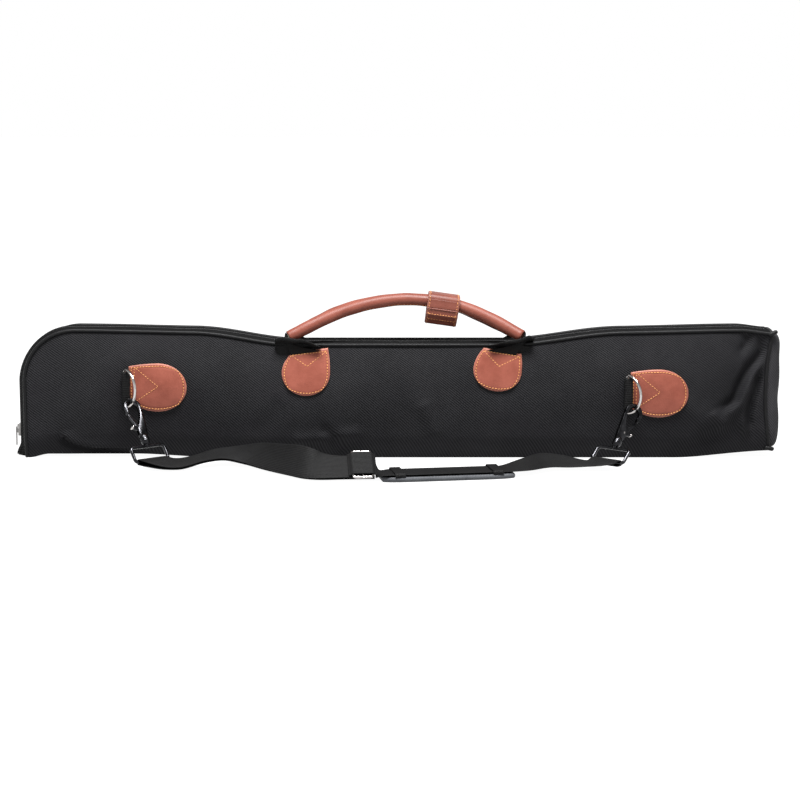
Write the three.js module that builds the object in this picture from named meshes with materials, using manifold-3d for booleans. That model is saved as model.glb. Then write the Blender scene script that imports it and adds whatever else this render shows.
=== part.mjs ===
// A soft carry case for a small telescope: a long padded nylon case that opens by a zip along its
// top and left end, with rolled leather handles, leather patches, two D-rings and a shoulder strap.
// Millimetres. +X runs along the case, +Z up, and the front faces -Y. The case stands on its base,
// and the origin is the middle of that base.
import * as THREE from 'three';
import { mergeVertices } from 'three/addons/utils/BufferGeometryUtils.js';
import Module from 'manifold-3d';

const wasm = await Module();
wasm.setup();

// Driving dimensions
const SEAM_LEFT = -432; // piped seam at the left end
const SEAM_RIGHT = 430; // piped seam round the end cap
const CORNER_R = 60; // rounded top left corner
const SEAM_TOP = 150.5; // height of the piped seam along the top
const SAG = 14; // how far the top sags under the handles
const SLOPE = 3; // how far it falls slowly on the way there
const GUSSET_HALF = 28; // half the width of the zipped gusset
const BASE_HALF = 22; // half the width of the flat base
const BULGE = 10; // how far a panel bulges past the gusset
const CLOTH = 1.2;
const FOAM = 4;
const GAP = 0.3;
const PIPING_R = 2;
const SEAM_INSET = PIPING_R + 2 * GAP;
const ZIP_HALF = 4.2; // half the width of the closed zip chain
const CROWN_TOP = 2; // how far the gusset crowns past its seams
const CROWN_END = 8;
const CAP_BULGE = 15;
const LEATHER = 2;
const WEBBING = 1.3; // thickness of the strap webbing
const STRAP_WIDTH = 38;
const HANDLE_R = 7.2;
const CORE_R = 4.6;
const RING_WIRE_R = 1.7;
const RING_HALF = 22;
const RING_DEPTH = 22;
const HOOK_LENGTH = 74; // from the ring's wire to the bar that the strap goes round
const HOOK_THICK = 6.5;
const EYE_HALF = 22;
const EYE_DEPTH = 19;
const EYE_WIRE_R = 2;
const PAD_THICK = 6;
const PANEL_ROWS = 7;
const CORNER_STEPS = 5; // facets round the top left corner
const TOP_STEPS = 18; // facets along the top

const COLOURS = {
  nylon: [0x3a3a3d, 0.85, 0],
  lining: [0x8b8d90, 0.9, 0],
  board: [0x2b2b2c, 0.7, 0],
  piping: [0x1b1b1c, 0.6, 0],
  zip: [0x1d1d1e, 0.5, 0],
  leather: [0x9a5242, 0.5, 0],
  core: [0xd8d0c0, 0.9, 0],
  webbing: [0x2a2a2b, 0.8, 0],
  chrome: [0xd9d9dc, 0.15, 1],
  gunmetal: [0x2c2c30, 0.3, 1],
  rubber: [0x58585c, 0.8, 0],
  velcro: [0x202021, 0.95, 0],
};
const materials = Object.fromEntries(
  Object.entries(COLOURS).map(([name, [color, roughness, metalness]]) => [
    name,
    new THREE.MeshStandardMaterial({ name, color, roughness, metalness }),
  ]),
);

const carryCase = new THREE.Group();
carryCase.name = 'telescope_carry_case';

const vec = (x, y, z) => new THREE.Vector3(x, y, z);
const rad = THREE.MathUtils.degToRad;
const smooth = THREE.MathUtils.smoothstep;
const mix = THREE.MathUtils.lerp;

// Geometry helpers

function signedVolume(geometry) {
  const position = geometry.attributes.position;
  const index = geometry.index.array;
  const [a, b, c] = [vec(), vec(), vec()];
  let volume = 0;
  for (let i = 0; i < index.length; i += 3) {
    a.fromBufferAttribute(position, index[i]);
    b.fromBufferAttribute(position, index[i + 1]);
    c.fromBufferAttribute(position, index[i + 2]);
    volume += a.dot(b.cross(c));
  }
  return volume / 6;
}

// A closed body whose vertices have been moved may have come out mirrored: turn its faces out.
function facingOut(geometry) {
  if (signedVolume(geometry) < 0) geometry.index.array.reverse();
  geometry.computeVertexNormals();
  return geometry;
}

function moved(geometry, place) {
  const position = geometry.attributes.position;
  for (let i = 0; i < position.count; i += 1) {
    const p = place(position.getX(i), position.getY(i), position.getZ(i), i);
    position.setXYZ(i, p.x, p.y, p.z);
  }
  return facingOut(geometry);
}

// A closed bent sheet: place(u, v, w) gives the point at u and v across it and w through it, all 0 to 1.
function bentSheet(alongU, alongV, place) {
  const slab = new THREE.BoxGeometry(1, 1, 1, alongU, alongV, 1);
  return moved(slab, (x, y, z) => place(x + 0.5, y + 0.5, z + 0.5));
}

// A closed round wire along a loop of points that lie in the plane with the given normal.
function wireLoop(points, radius, normal, sides = 6) {
  const count = points.length;
  const ring = new THREE.TorusGeometry(2, 1, sides, count);
  const uv = ring.attributes.uv;
  return moved(ring, (x, y, z, i) => {
    const at = Math.round(uv.getX(i) * count) % count;
    const turn = uv.getY(i) * 2 * Math.PI;
    const before = points[(at + count - 1) % count];
    const after = points[(at + 1) % count];
    const side = after.clone().sub(before).cross(normal).normalize();
    return points[at]
      .clone()
      .addScaledVector(side, radius * Math.cos(turn))
      .addScaledVector(normal, radius * Math.sin(turn));
  });
}

// A closed rod of the given outline along a curve.
function rod(outline, points, steps) {
  const path = new THREE.CatmullRomCurve3(points, false, 'centripetal');
  const options = { steps, extrudePath: path };
  const geometry = new THREE.ExtrudeGeometry(outline, options);
  geometry.deleteAttribute('normal');
  geometry.deleteAttribute('uv');
  return facingOut(mergeVertices(geometry, 1e-3));
}

function circle(x, y, radius, sides) {
  const points = [];
  for (let i = 0; i < sides; i += 1) {
    const angle = (2 * Math.PI * i) / sides;
    points.push(new THREE.Vector2(x + radius * Math.cos(angle), y + radius * Math.sin(angle)));
  }
  return points;
}

function disc(radius, hole = 0) {
  const shape = new THREE.Shape(circle(0, 0, radius, 9));
  if (hole) shape.holes.push(new THREE.Path(circle(0, 0, hole, 9).reverse()));
  return shape;
}

// A flat plate of an outline, centred on its own plane.
function plate(outline, thickness, curveSegments = 6) {
  const options = { depth: thickness, bevelEnabled: false, curveSegments };
  return new THREE.ExtrudeGeometry(outline, options).translate(0, 0, -thickness / 2);
}

function solid(geometry) {
  const bare = geometry.index ? geometry.toNonIndexed() : geometry.clone();
  bare.deleteAttribute('normal');
  bare.deleteAttribute('uv');
  const merged = mergeVertices(bare, 1e-4);
  const vertProperties = merged.attributes.position.array;
  const triVerts = new Uint32Array(merged.index.array);
  return new wasm.Manifold(new wasm.Mesh({ numProp: 3, vertProperties, triVerts }));
}

function meshed(manifold) {
  const { vertProperties, triVerts } = manifold.getMesh();
  const geometry = new THREE.BufferGeometry();
  geometry.setAttribute('position', new THREE.BufferAttribute(vertProperties, 3));
  geometry.setIndex(new THREE.BufferAttribute(triVerts, 1));
  geometry.computeVertexNormals();
  return geometry;
}

function add(name, material, geometry, parent = carryCase) {
  const mesh = new THREE.Mesh(geometry, materials[material]);
  mesh.name = name;
  parent.add(mesh);
  return mesh;
}

// The case's own shape

// Height of the top seam: it sags under the handles and dips a little at the end cap.
function seamHeight(x) {
  const sag = smooth(x, -235, -115) * (1 - smooth(x, 125, 265));
  const slope = smooth(x, -385, -200) * (1 - smooth(x, 245, 410));
  return SEAM_TOP - SAG * sag - SLOPE * slope - 4 * smooth(x, 395, SEAM_RIGHT);
}

// The seam's corner and then its top, as columns of a panel: u 0 to 1 from the left end to the right.
function column(u, inset) {
  const step = u * (CORNER_STEPS + TOP_STEPS);
  const cornerX = SEAM_LEFT + CORNER_R;
  const r = CORNER_R - inset;
  if (step < CORNER_STEPS) {
    const angle = ((step / CORNER_STEPS) * Math.PI) / 2;
    return {
      x: cornerX - r * Math.cos(angle),
      top: SEAM_TOP - CORNER_R + r * Math.sin(angle),
    };
  }
  const x = mix(cornerX, SEAM_RIGHT - inset, (step - CORNER_STEPS) / TOP_STEPS);
  return { x, top: seamHeight(x) - inset };
}

// Height of the seam over any x, the rounded corner included.
function topOver(x) {
  const intoCorner = Math.min(Math.max(SEAM_LEFT + CORNER_R - x, 0), CORNER_R);
  return seamHeight(x) - CORNER_R + Math.sqrt(CORNER_R ** 2 - intoCorner ** 2);
}

// How far the front or back panel stands out from the middle plane.
function panelDepth(x, z) {
  const rise = Math.min(Math.max(z / topOver(x), 0), 1);
  const ends = smooth(x, SEAM_LEFT, SEAM_LEFT + 75) * (1 - smooth(x, SEAM_RIGHT - 55, SEAM_RIGHT));
  const belly = BULGE * ends * Math.sin(Math.PI * rise);
  const under = (1 - smooth(z, -10, 28)) * 1.3 * (GUSSET_HALF - BASE_HALF);
  return GUSSET_HALF + belly - under;
}

// A point of a panel, `depth` in from its outer face. Side is -1 for the front and 1 for the back.
function panelPoint(u, v, depth, side) {
  const { x, top } = column(u, SEAM_INSET);
  const z = top * v ** 1.5;
  const slopeX = (panelDepth(x + 1, z) - panelDepth(x - 1, z)) / 2;
  const slopeZ = (panelDepth(x, z + 1) - panelDepth(x, z - 1)) / 2;
  const inwards = vec(slopeX, -side, slopeZ).normalize();
  return vec(x, side * panelDepth(x, z), z).addScaledVector(inwards, depth);
}

// `margin` keeps an inner layer clear of the seams: the share of the panel's length, foot and top.
function panelLayer(side, from, thickness, margin = [0, 0, 0]) {
  const [ends, foot, top] = margin;
  return bentSheet(CORNER_STEPS + TOP_STEPS, PANEL_ROWS, (u, v, w) => {
    const s = u === 0 || u === 1 ? mix(ends, 1 - ends, u) : u;
    const t = v === 0 || v === 1 ? mix(foot, 1 - top, v) : v;
    return panelPoint(s, t, from + w * thickness, side);
  });
}

// The gusset's line from the left foot up, round the corner and along the top, with its outward normal.
function rimStations() {
  const stations = [];
  const foot = 1.5;
  const corner = SEAM_TOP - CORNER_R;
  for (let i = 0; i < 4; i += 1) {
    stations.push({ x: SEAM_LEFT, z: mix(foot, corner, i / 4), nx: -1, nz: 0, turn: 0 });
  }
  for (let i = 0; i < CORNER_STEPS; i += 1) {
    const angle = ((i / CORNER_STEPS) * Math.PI) / 2;
    const [nx, nz] = [-Math.cos(angle), Math.sin(angle)];
    stations.push({
      x: SEAM_LEFT + CORNER_R + CORNER_R * nx,
      z: corner + CORNER_R * nz,
      nx,
      nz,
      turn: i / CORNER_STEPS,
    });
  }
  const end = SEAM_RIGHT - SEAM_INSET;
  for (let i = 0; i <= TOP_STEPS; i += 1) {
    const x = mix(SEAM_LEFT + CORNER_R, end, i / TOP_STEPS);
    const slope = seamHeight(x + 1) - seamHeight(x - 1);
    const normal = new THREE.Vector2(-slope / 2, 1).normalize();
    stations.push({ x, z: seamHeight(x), nx: normal.x, nz: normal.y, turn: 1 });
  }
  return stations;
}
const rim = rimStations();

function rimPoint(u, y, out) {
  const at = rim[Math.round(u * (rim.length - 1))];
  const crown = mix(CROWN_END, CROWN_TOP, at.turn) * (1 - (y / GUSSET_HALF) ** 2);
  return vec(at.x + at.nx * (crown + out), y, at.z + at.nz * (crown + out));
}

function rimStrip(yFrom, yTo, outFrom, outTo, across = 1) {
  return bentSheet(rim.length - 1, across, (u, v, w) =>
    rimPoint(u, mix(yFrom, yTo, v), mix(outFrom, outTo, w)),
  );
}

function piping(side) {
  const centres = rim.map((at) => vec(at.x, side * GUSSET_HALF, at.z));
  return bentSheetTube(centres);
}

// A round cord along points, made from a closed cylinder whose rings are moved to them.
function bentSheetTube(centres) {
  const last = centres.length - 1;
  const tube = new THREE.CylinderGeometry(1, 1, 1, 6, last);
  return moved(tube, (x, y, z) => {
    const at = Math.round((0.5 - y) * last);
    const ahead = centres[Math.min(at + 1, last)].clone();
    const along = ahead.sub(centres[Math.max(at - 1, 0)]).normalize();
    const side = vec(0, 1, 0);
    const up = along.clone().cross(side).normalize();
    return centres[at]
      .clone()
      .addScaledVector(side, x * PIPING_R)
      .addScaledVector(up, z * PIPING_R);
  });
}

// The padding stops short of the panel's ends, its foot and its top.
const PADDING_MARGIN = [0.012, 0.115, 0.025];

function addPanels() {
  const sides = [
    ['front', -1],
    ['back', 1],
  ];
  for (const [name, side] of sides) {
    add(`${name}_panel`, 'nylon', panelLayer(side, 0, CLOTH));
    add(`${name}_padding`, 'lining', panelLayer(side, CLOTH + 1.5, FOAM, PADDING_MARGIN));
    const edge = GUSSET_HALF - PIPING_R - GAP;
    const inner = ZIP_HALF + GAP;
    add(`gusset_${name}`, 'nylon', rimStrip(side * inner, side * edge, -CLOTH, 0, 2));
    add(`piping_${name}`, 'piping', piping(side));
    const chain = rimStrip(side * (GAP / 2), side * ZIP_HALF, -CLOTH, 0.6);
    add(`zip_chain_${name}`, 'zip', chain);
  }
}

function addBase() {
  const length = SEAM_RIGHT - SEAM_LEFT - 2 * SEAM_INSET;
  const middle = (SEAM_RIGHT + SEAM_LEFT) / 2;
  const cloth = new THREE.BoxGeometry(length, 2 * (BASE_HALF - 2.2), CLOTH);
  add('bottom_panel', 'nylon', cloth.translate(middle, 0, CLOTH / 2));
  const board = new THREE.BoxGeometry(length - 14, 2 * (BASE_HALF - 4.5), 3);
  add('bottom_board', 'board', board.translate(middle, 0, CLOTH + GAP + 1.5));
}

// The end cap's outline: a rectangle with well rounded corners. a and b run from -1 to 1.
function capPoint(a, b, share) {
  const height = seamHeight(SEAM_RIGHT) / 2 - 1.5;
  const round = 0.34;
  return {
    y: GUSSET_HALF * share * a * Math.sqrt(1 - round * b * b),
    z: height + 2.5 + height * share * b * Math.sqrt(1 - round * a * a),
  };
}

function addEndCap() {
  const cap = bentSheet(6, 10, (u, v, w) => {
    const [a, b] = [2 * u - 1, 2 * v - 1];
    const dome = CAP_BULGE * Math.sqrt(Math.max(0, (1 - a ** 4) * (1 - b ** 4)));
    const { y, z } = capPoint(a, b, mix(0.93, 0.97, w));
    return vec(SEAM_RIGHT + PIPING_R + GAP + (dome + CLOTH) * mix(0.9, 1, w) + CLOTH * (w - 1), y, z);
  });
  add('end_cap', 'nylon', cap);
  const edge = [];
  const perSide = 7;
  for (let side = 0; side < 4; side += 1) {
    for (let i = 0; i < perSide; i += 1) {
      const t = (2 * i) / perSide - 1;
      const [a, b] = [[t, -1], [1, t], [-t, 1], [-1, -t]][side];
      const { y, z } = capPoint(a, b, 1);
      edge.push(vec(SEAM_RIGHT, y, z));
    }
  }
  add('piping_end_cap', 'piping', wireLoop(edge, PIPING_R, vec(1, 0, 0)));
}

// Leather patches: a tongue with one straight end and one round end, lying on a panel. `turn` is
// the way its round end points, `skew` how far its straight end is cut askew and `shift` how far
// that end is off the middle.

function tongue({ centre, size, turn, skew = 0, shift = 0 }, side) {
  const [length, width, straight] = size;
  return bentSheet(8, 6, (u, v, w) => {
    const [s, a] = [2 * u - 1, 2 * v - 1];
    const along = s > 0 ? s * Math.sqrt(1 - (a * a) / 2) : s;
    const narrow = s > 0 ? Math.sqrt(1 - (s * s) / 2) : mix(1, straight / width, s * s);
    const p = new THREE.Vector2((length / 2) * along, (width / 2) * a * narrow);
    p.x += skew * a * Math.max(-s, 0);
    p.y += shift * Math.max(-s, 0) ** 2;
    p.rotateAround(new THREE.Vector2(), rad(turn));
    const [x, z] = [centre[0] + p.x, centre[1] + p.y];
    return vec(x, side * (panelDepth(x, z) + 2 * GAP + w * LEATHER), z);
  });
}

const HANDLE_TABS = {
  left: { centre: [-104.4, 101.5], size: [52, 56, 42], turn: -92, skew: -3.8, shift: 3.5 },
  right: { centre: [117.6, 104.2], size: [47, 56, 44], turn: -99, skew: 0, shift: 2.5 },
};
const RINGS = {
  left: { tabX: -276, z: 85, lift: 50, hang: -55, lean: [0.377, -0.469], spine: 1 },
  right: { tabX: 305.5, z: 78, lift: 50, hang: -55, lean: [-0.47, -0.53], spine: -1 },
};
const RING_TAB = [67, 56, 41];
const RING_TAB_SHIFT = 4.2;

function addTabs() {
  for (const [where, tab] of Object.entries(HANDLE_TABS)) {
    add(`handle_tab_front_${where}`, 'leather', tongue(tab, -1));
    add(`handle_tab_back_${where}`, 'leather', tongue(tab, 1));
  }
  for (const [where, { tabX, z }] of Object.entries(RINGS)) {
    const tab = { centre: [tabX, z], size: RING_TAB, turn: 0, shift: RING_TAB_SHIFT };
    add(`ring_tab_${where}`, 'leather', tongue(tab, -1));
  }
}

// A band of webbing folded round a bar, with two legs that run off in one direction. The fold's
// profile lies in the plane of `away` and `over`; the band is as wide as `across` is long.
function foldedBand(bar, away, over, across, reach, barR) {
  const inner = barR + GAP;
  const legs = 0.22;
  return bentSheet(12, 1, (u, v, w) => {
    const r = inner + w * WEBBING;
    const p = bar.clone().addScaledVector(across, v - 0.5);
    if (u < legs || u > 1 - legs) {
      const sign = u < legs ? 1 : -1;
      const run = (sign > 0 ? 1 - u / legs : 1 - (1 - u) / legs) * reach;
      return p.addScaledVector(away, run).addScaledVector(over, sign * r);
    }
    const angle = Math.PI * ((u - legs) / (1 - 2 * legs));
    return p.addScaledVector(away, -r * Math.sin(angle)).addScaledVector(over, r * Math.cos(angle));
  });
}

// D-rings and snap hooks

function ringFrame({ tabX, z, lift }) {
  const barX = tabX - RING_TAB[0] / 2 - 4.5;
  const barY = -(GUSSET_HALF + BULGE + 0.6 + WEBBING + GAP + RING_WIRE_R);
  return { bar: vec(barX, barY, z), out: vec(Math.cos(rad(lift)), -Math.sin(rad(lift)), 0) };
}

function ringPoint(frame, angle) {
  return frame.bar
    .clone()
    .addScaledVector(frame.out, RING_DEPTH * Math.cos(angle))
    .add(vec(0, 0, RING_HALF * Math.sin(angle)));
}

function dRing(frame) {
  const points = [];
  for (let i = 0; i <= 14; i += 1) points.push(ringPoint(frame, rad(-84 + 12 * i)));
  const corner = 3;
  for (const z of [RING_HALF - corner, 0, corner - RING_HALF]) {
    points.push(frame.bar.clone().add(vec(0, 0, z)));
  }
  const normal = frame.out.clone().cross(vec(0, 0, 1)).normalize();
  return wireLoop(points, RING_WIRE_R, normal);
}

// The hook's own frame: the ring's wire at the origin, -y down the hook to the strap, x across it
// and z out of its face. `spine` says on which side its solid back is.
function hookOutline(spine) {
  const outline = new THREE.Shape();
  outline.moveTo(11 * spine, -3.7);
  outline.absarc(0, -3.7, 11, spine > 0 ? 0 : Math.PI, spine > 0 ? Math.PI : 0, spine < 0);
  outline.lineTo(-10.6 * spine, -11);
  outline.lineTo(-7.2 * spine, -11.5);
  outline.lineTo(-6.9 * spine, -3.7);
  outline.absarc(0, -3.7, 6.9, spine > 0 ? Math.PI : 0, spine > 0 ? 0 : Math.PI, spine > 0);
  outline.lineTo(6.9 * spine, -10);
  outline.lineTo(1.5 * spine, -23);
  outline.lineTo(-4.6 * spine, -33);
  outline.lineTo(-4.2 * spine, -44);
  outline.lineTo(5.6 * spine, -44);
  outline.lineTo(8.6 * spine, -24);
  outline.closePath();
  return outline;
}

const PIVOT = [-0.8, -32.5];
const PIN_R = 1.3;

function hookBody(spine) {
  let body = solid(plate(hookOutline(spine), HOOK_THICK, 5));
  const collar = new THREE.CylinderGeometry(5.2, 5.2, 7, 12).translate(0.4 * spine, -46.5, 0);
  body = body.add(solid(collar));
  const slot = new THREE.BoxGeometry(14, 18, 3.6).translate(-3.4 * spine, -31, 0);
  const bore = new THREE.CylinderGeometry(2.4, 2.4, 9, 10).translate(0.4 * spine, -48, 0);
  const hole = pivotPin(spine, PIN_R + 0.05, 12);
  return meshed(body.subtract(solid(slot)).subtract(solid(bore)).subtract(solid(hole)));
}

function gate(spine) {
  const at = (x, y) => new THREE.Vector2(x * spine, y);
  const outline = new THREE.Shape([
    at(-10.4, -13.2),
    at(-7.8, -12),
    at(1.2, -30.5),
    at(1.2, -34.6),
    at(-2.8, -34.6),
    at(-9.2, -31.6),
    at(-11.6, -29.4),
    at(-10.2, -27.4),
    at(-6.6, -28.2),
    at(-5.2, -27),
  ]);
  return meshed(solid(plate(outline, 3)).subtract(solid(pivotPin(spine, PIN_R + 0.05, 12))));
}

function pivotPin(spine, radius, length) {
  const pin = new THREE.CylinderGeometry(radius, radius, length, 12);
  return pin.rotateX(Math.PI / 2).translate(PIVOT[0] * spine, PIVOT[1], 0);
}

// The swivel eye: a stem that turns in the hook's collar, and a rectangular loop for the strap.
function swivelEye(frame, across) {
  const down = frame.down;
  const bar = frame.at.clone().addScaledVector(down, HOOK_LENGTH);
  const corner = 3.5;
  const points = [];
  const corners = [
    [-1, 0],
    [1, 0],
    [1, 1],
    [-1, 1],
  ];
  corners.forEach(([a, b]) => {
    const nextFirst = (a < 0 && b === 0) || (a > 0 && b === 1);
    const alongBar = [(a * EYE_HALF - a * corner), b * EYE_DEPTH];
    const alongArm = [a * EYE_HALF, b * EYE_DEPTH + (b ? -corner : corner)];
    const middle = [a * (EYE_HALF - 1), b * EYE_DEPTH + (b ? -1 : 1)];
    const run = nextFirst ? [alongArm, middle, alongBar] : [alongBar, middle, alongArm];
    points.push(...run);
  });
  const loop = points.map(([a, b]) =>
    bar.clone().addScaledVector(across, a).addScaledVector(down, b - EYE_DEPTH),
  );
  const normal = across.clone().cross(down).normalize();
  const eye = solid(wireLoop(loop, EYE_WIRE_R, normal));
  const stemLength = HOOK_LENGTH - EYE_DEPTH - 44;
  const stem = new THREE.CylinderGeometry(2.1, 2.1, stemLength, 10);
  const axis = frame.at.clone().addScaledVector(frame.across, 0.4 * frame.spine);
  axis.addScaledVector(down, HOOK_LENGTH - EYE_DEPTH - stemLength / 2);
  const turn = new THREE.Quaternion().setFromUnitVectors(vec(0, 1, 0), down);
  stem.applyQuaternion(turn).translate(axis.x, axis.y, axis.z);
  return meshed(eye.add(solid(stem)));
}

function addRingSide(where, ring) {
  const frame = ringFrame(ring);
  add(`d_ring_${where}`, 'chrome', dRing(frame));
  const tall = vec(0, 0, 2 * (RING_HALF - 3.2));
  const loop = foldedBand(frame.bar, vec(1, 0, 0), vec(0, -1, 0), tall, 4, RING_WIRE_R);
  add(`ring_loop_${where}`, 'webbing', loop);

  const hangAngle = rad(ring.hang);
  const [leanX, leanY] = ring.lean;
  const down = vec(leanX, leanY, -Math.sqrt(1 - leanX ** 2 - leanY ** 2));
  const wire = frame.out.clone().multiplyScalar(-Math.sin(hangAngle));
  wire.z = Math.cos(hangAngle);
  const face = wire.addScaledVector(down, -wire.dot(down)).normalize();
  const across = face.clone().cross(down).normalize();
  const at = ringPoint(frame, hangAngle);
  const group = new THREE.Group();
  group.position.copy(at);
  const up = down.clone().negate();
  group.quaternion.setFromRotationMatrix(new THREE.Matrix4().makeBasis(across, up, face));
  carryCase.add(group);
  add(`hook_${where}`, 'gunmetal', hookBody(ring.spine), group);
  add(`hook_gate_${where}`, 'gunmetal', gate(ring.spine), group);
  add(`hook_pin_${where}`, 'chrome', pivotPin(ring.spine, PIN_R - 0.02, HOOK_THICK), group);

  const barAcross = down.clone().cross(vec(0, 0, 1)).normalize().negate();
  if (barAcross.x < 0) barAcross.negate();
  const hook = { at, down, across, spine: ring.spine };
  add(`hook_swivel_${where}`, 'gunmetal', swivelEye(hook, barAcross));
  const bar = at.clone().addScaledVector(down, HOOK_LENGTH);
  const away = vec(down.x, down.y, 0).normalize();
  const band = barAcross.clone().multiplyScalar(STRAP_WIDTH);
  const bight = foldedBand(bar, away, vec(0, 0, 1), band, 5, EYE_WIRE_R);
  add(`strap_bight_${where}`, 'webbing', bight);
  return { bar, away, across: barAcross };
}

// The shoulder strap

// A stretch of webbing between two edges: each station is a point of its near edge and one of its
// far edge. `lift(u)` is how far the layer's middle is off the surface between them.
function ribbon(stations, steps, lift) {
  const edges = [0, 1].map(
    (edge) => new THREE.CatmullRomCurve3(stations.map((at) => at[edge]), false, 'centripetal'),
  );
  const surface = (u, v) => edges[0].getPoint(u).lerp(edges[1].getPoint(u), v);
  return bentSheet(steps, 2, (u, v, w) => {
    const [before, after] = [Math.max(u - 0.01, 0), Math.min(u + 0.01, 1)];
    const along = surface(after, v).sub(surface(before, v));
    const out = along.cross(surface(u, 1).sub(surface(u, 0))).normalize();
    return surface(u, v).addScaledVector(out, lift(u) + (w - 0.5) * WEBBING);
  });
}

const LAYER = 1.2; // half the distance between the strap's two layers
const PAD_START = [-14, -184];
const PAD_END = [134, -158];
const PAD_WIDTH = 44;
const padAlong = vec(PAD_END[0] - PAD_START[0], PAD_END[1] - PAD_START[1], 0);
const PAD_LENGTH = padAlong.length();
padAlong.normalize();
const padSide = vec(-padAlong.y, padAlong.x, 0);
const padPoint = (along, across, z) =>
  vec(PAD_START[0], PAD_START[1], z).addScaledVector(padAlong, along).addScaledVector(padSide, across);

// The strap lies in a plane where the sliding buckle sits on it: its near edge runs from `corner`.
const GLIDE = { corner: vec(-60, -176, 4), along: vec(0.996, 0.09, 0), tilt: rad(30) };
const glideSide = vec(-GLIDE.along.y, GLIDE.along.x, 0).multiplyScalar(Math.cos(GLIDE.tilt));
glideSide.z = Math.sin(GLIDE.tilt);
const glideOut = GLIDE.along.clone().cross(glideSide);

function glideStation(along) {
  const near = GLIDE.corner.clone().addScaledVector(GLIDE.along, along);
  return [near, near.clone().addScaledVector(glideSide, STRAP_WIDTH)];
}

// Where the strap leaves the bar of a hook's eye.
function barStation({ bar, across, away }, offset, rise = 0) {
  const edge = (share) =>
    bar
      .clone()
      .addScaledVector(across, share * STRAP_WIDTH)
      .addScaledVector(away, offset)
      .add(vec(0, 0, rise));
  return [edge(-0.5), edge(0.5)];
}

function addStrap(left, right) {
  const fromHook = [
    barStation(left, 5.4),
    barStation(left, 14),
    [vec(-262, -118, 5), vec(-245, -84, 9)],
    [vec(-243, -114, 4), vec(-230, -79.5, 12)],
    [vec(-217, -97, 8.5), vec(-208, -61, 16)],
    [vec(-196, -86, 9), vec(-182, -52, 18)],
    [vec(-175, -92, 6), vec(-155, -65, 24)],
    [vec(-148, -118, 3.4), vec(-128, -100, 29)],
    [vec(-121, -149, 3), vec(-105, -134, 33.5)],
    [vec(-102, -169, 3), vec(-92, -147, 32)],
    [vec(-84, -176, 3.4), vec(-80, -145, 26)],
    glideStation(0),
    glideStation(18),
    glideStation(37),
  ];
  const spread = (u) => 1.75 * (1 - smooth(u, 0.04, 0.2));
  add('strap_left_outer', 'webbing', ribbon(fromHook, 34, (u) => LAYER + spread(u)));
  add('strap_left_inner', 'webbing', ribbon(fromHook, 34, (u) => -LAYER - spread(u)));

  const onPad = PAD_THICK + 2;
  const strapStation = (along) => [padPoint(along, 3, onPad), padPoint(along, 3 + STRAP_WIDTH, onPad)];
  const toHook = [
    glideStation(38.2),
    strapStation(2),
    strapStation(14),
    strapStation(PAD_LENGTH / 2),
    strapStation(PAD_LENGTH - 22),
    strapStation(PAD_LENGTH - 10),
    [vec(150, -143, 7), vec(142, -107, 14)],
    [vec(175, -119, 6), vec(166, -83, 16)],
    [vec(201, -113, 5), vec(190, -78, 13)],
    barStation(right, 14, 1).reverse(),
    barStation(right, 5.4, 2.95).reverse(),
  ];
  add('strap_right', 'webbing', ribbon(toHook, 34, () => 0));
}

// The sliding buckle lies on the strap: a frame with a bar across its middle.
function addGlide() {
  const [halfX, halfY, frameWide, barWide] = [12, 23, 3.6, 4];
  const thick = 2;
  const slotWide = halfX - frameWide - barWide / 2;
  let frame = solid(new THREE.BoxGeometry(2 * halfX, 2 * halfY, thick));
  for (const side of [-1, 1]) {
    const slot = new THREE.BoxGeometry(slotWide, 2 * (halfY - frameWide), 2 * thick);
    frame = frame.subtract(solid(slot.translate((side * (barWide + slotWide)) / 2, 0, 0)));
  }
  const buckle = meshed(frame);
  buckle.applyMatrix4(new THREE.Matrix4().makeBasis(GLIDE.along, glideSide, glideOut));
  const centre = glideStation(24)[0]
    .addScaledVector(glideSide, STRAP_WIDTH / 2)
    .addScaledVector(glideOut, LAYER + WEBBING / 2 + thick / 2 + 2 * GAP);
  buckle.translate(centre.x, centre.y, centre.z);
  add('tri_glide', 'chrome', buckle);
}

function addPad() {
  const pad = bentSheet(12, 3, (u, v, w) => {
    const taper = 1 - 0.28 * (2 * Math.abs(u - 0.5)) ** 8;
    const across = PAD_WIDTH * (0.5 + (v - 0.5) * taper);
    return padPoint(PAD_LENGTH * u, across, PAD_THICK * w);
  });
  add('shoulder_pad', 'rubber', pad);
  for (const [name, at] of [
    ['left', 20],
    ['right', PAD_LENGTH - 20],
  ]) {
    const [low, high] = [PAD_THICK + GAP, PAD_THICK + 4.4];
    const arch = new THREE.Shape();
    const [half, thick] = [PAD_WIDTH / 2 - 1, 1];
    arch.moveTo(-half, low);
    arch.lineTo(-half + thick, low);
    arch.lineTo(-half + thick, high - thick);
    arch.lineTo(half - thick, high - thick);
    arch.lineTo(half - thick, low);
    arch.lineTo(half, low);
    arch.lineTo(half, high);
    arch.lineTo(-half, high);
    const keeper = plate(arch, 12);
    keeper.applyMatrix4(new THREE.Matrix4().makeBasis(padSide, vec(0, 0, 1), padAlong));
    const centre = padPoint(at, PAD_WIDTH / 2, 0);
    add(`pad_keeper_${name}`, 'webbing', keeper.translate(centre.x, centre.y, 0));
  }
}

// Handles

// The front handle's line; the back one mirrors it and hangs a little lower to the right.
const HANDLE_LINE = [
  [-124, 29.5, 143],
  [-104, 25, 153],
  [-70, 16, 168],
  [-34, 11, 179],
  [5, 8.4, 184.5],
  [34, 8.2, 183.5],
  [54, 8.2, 180.6],
  [75, 8.6, 176.5],
  [110, 17, 163],
  [146, 29.5, 144],
];

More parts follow.
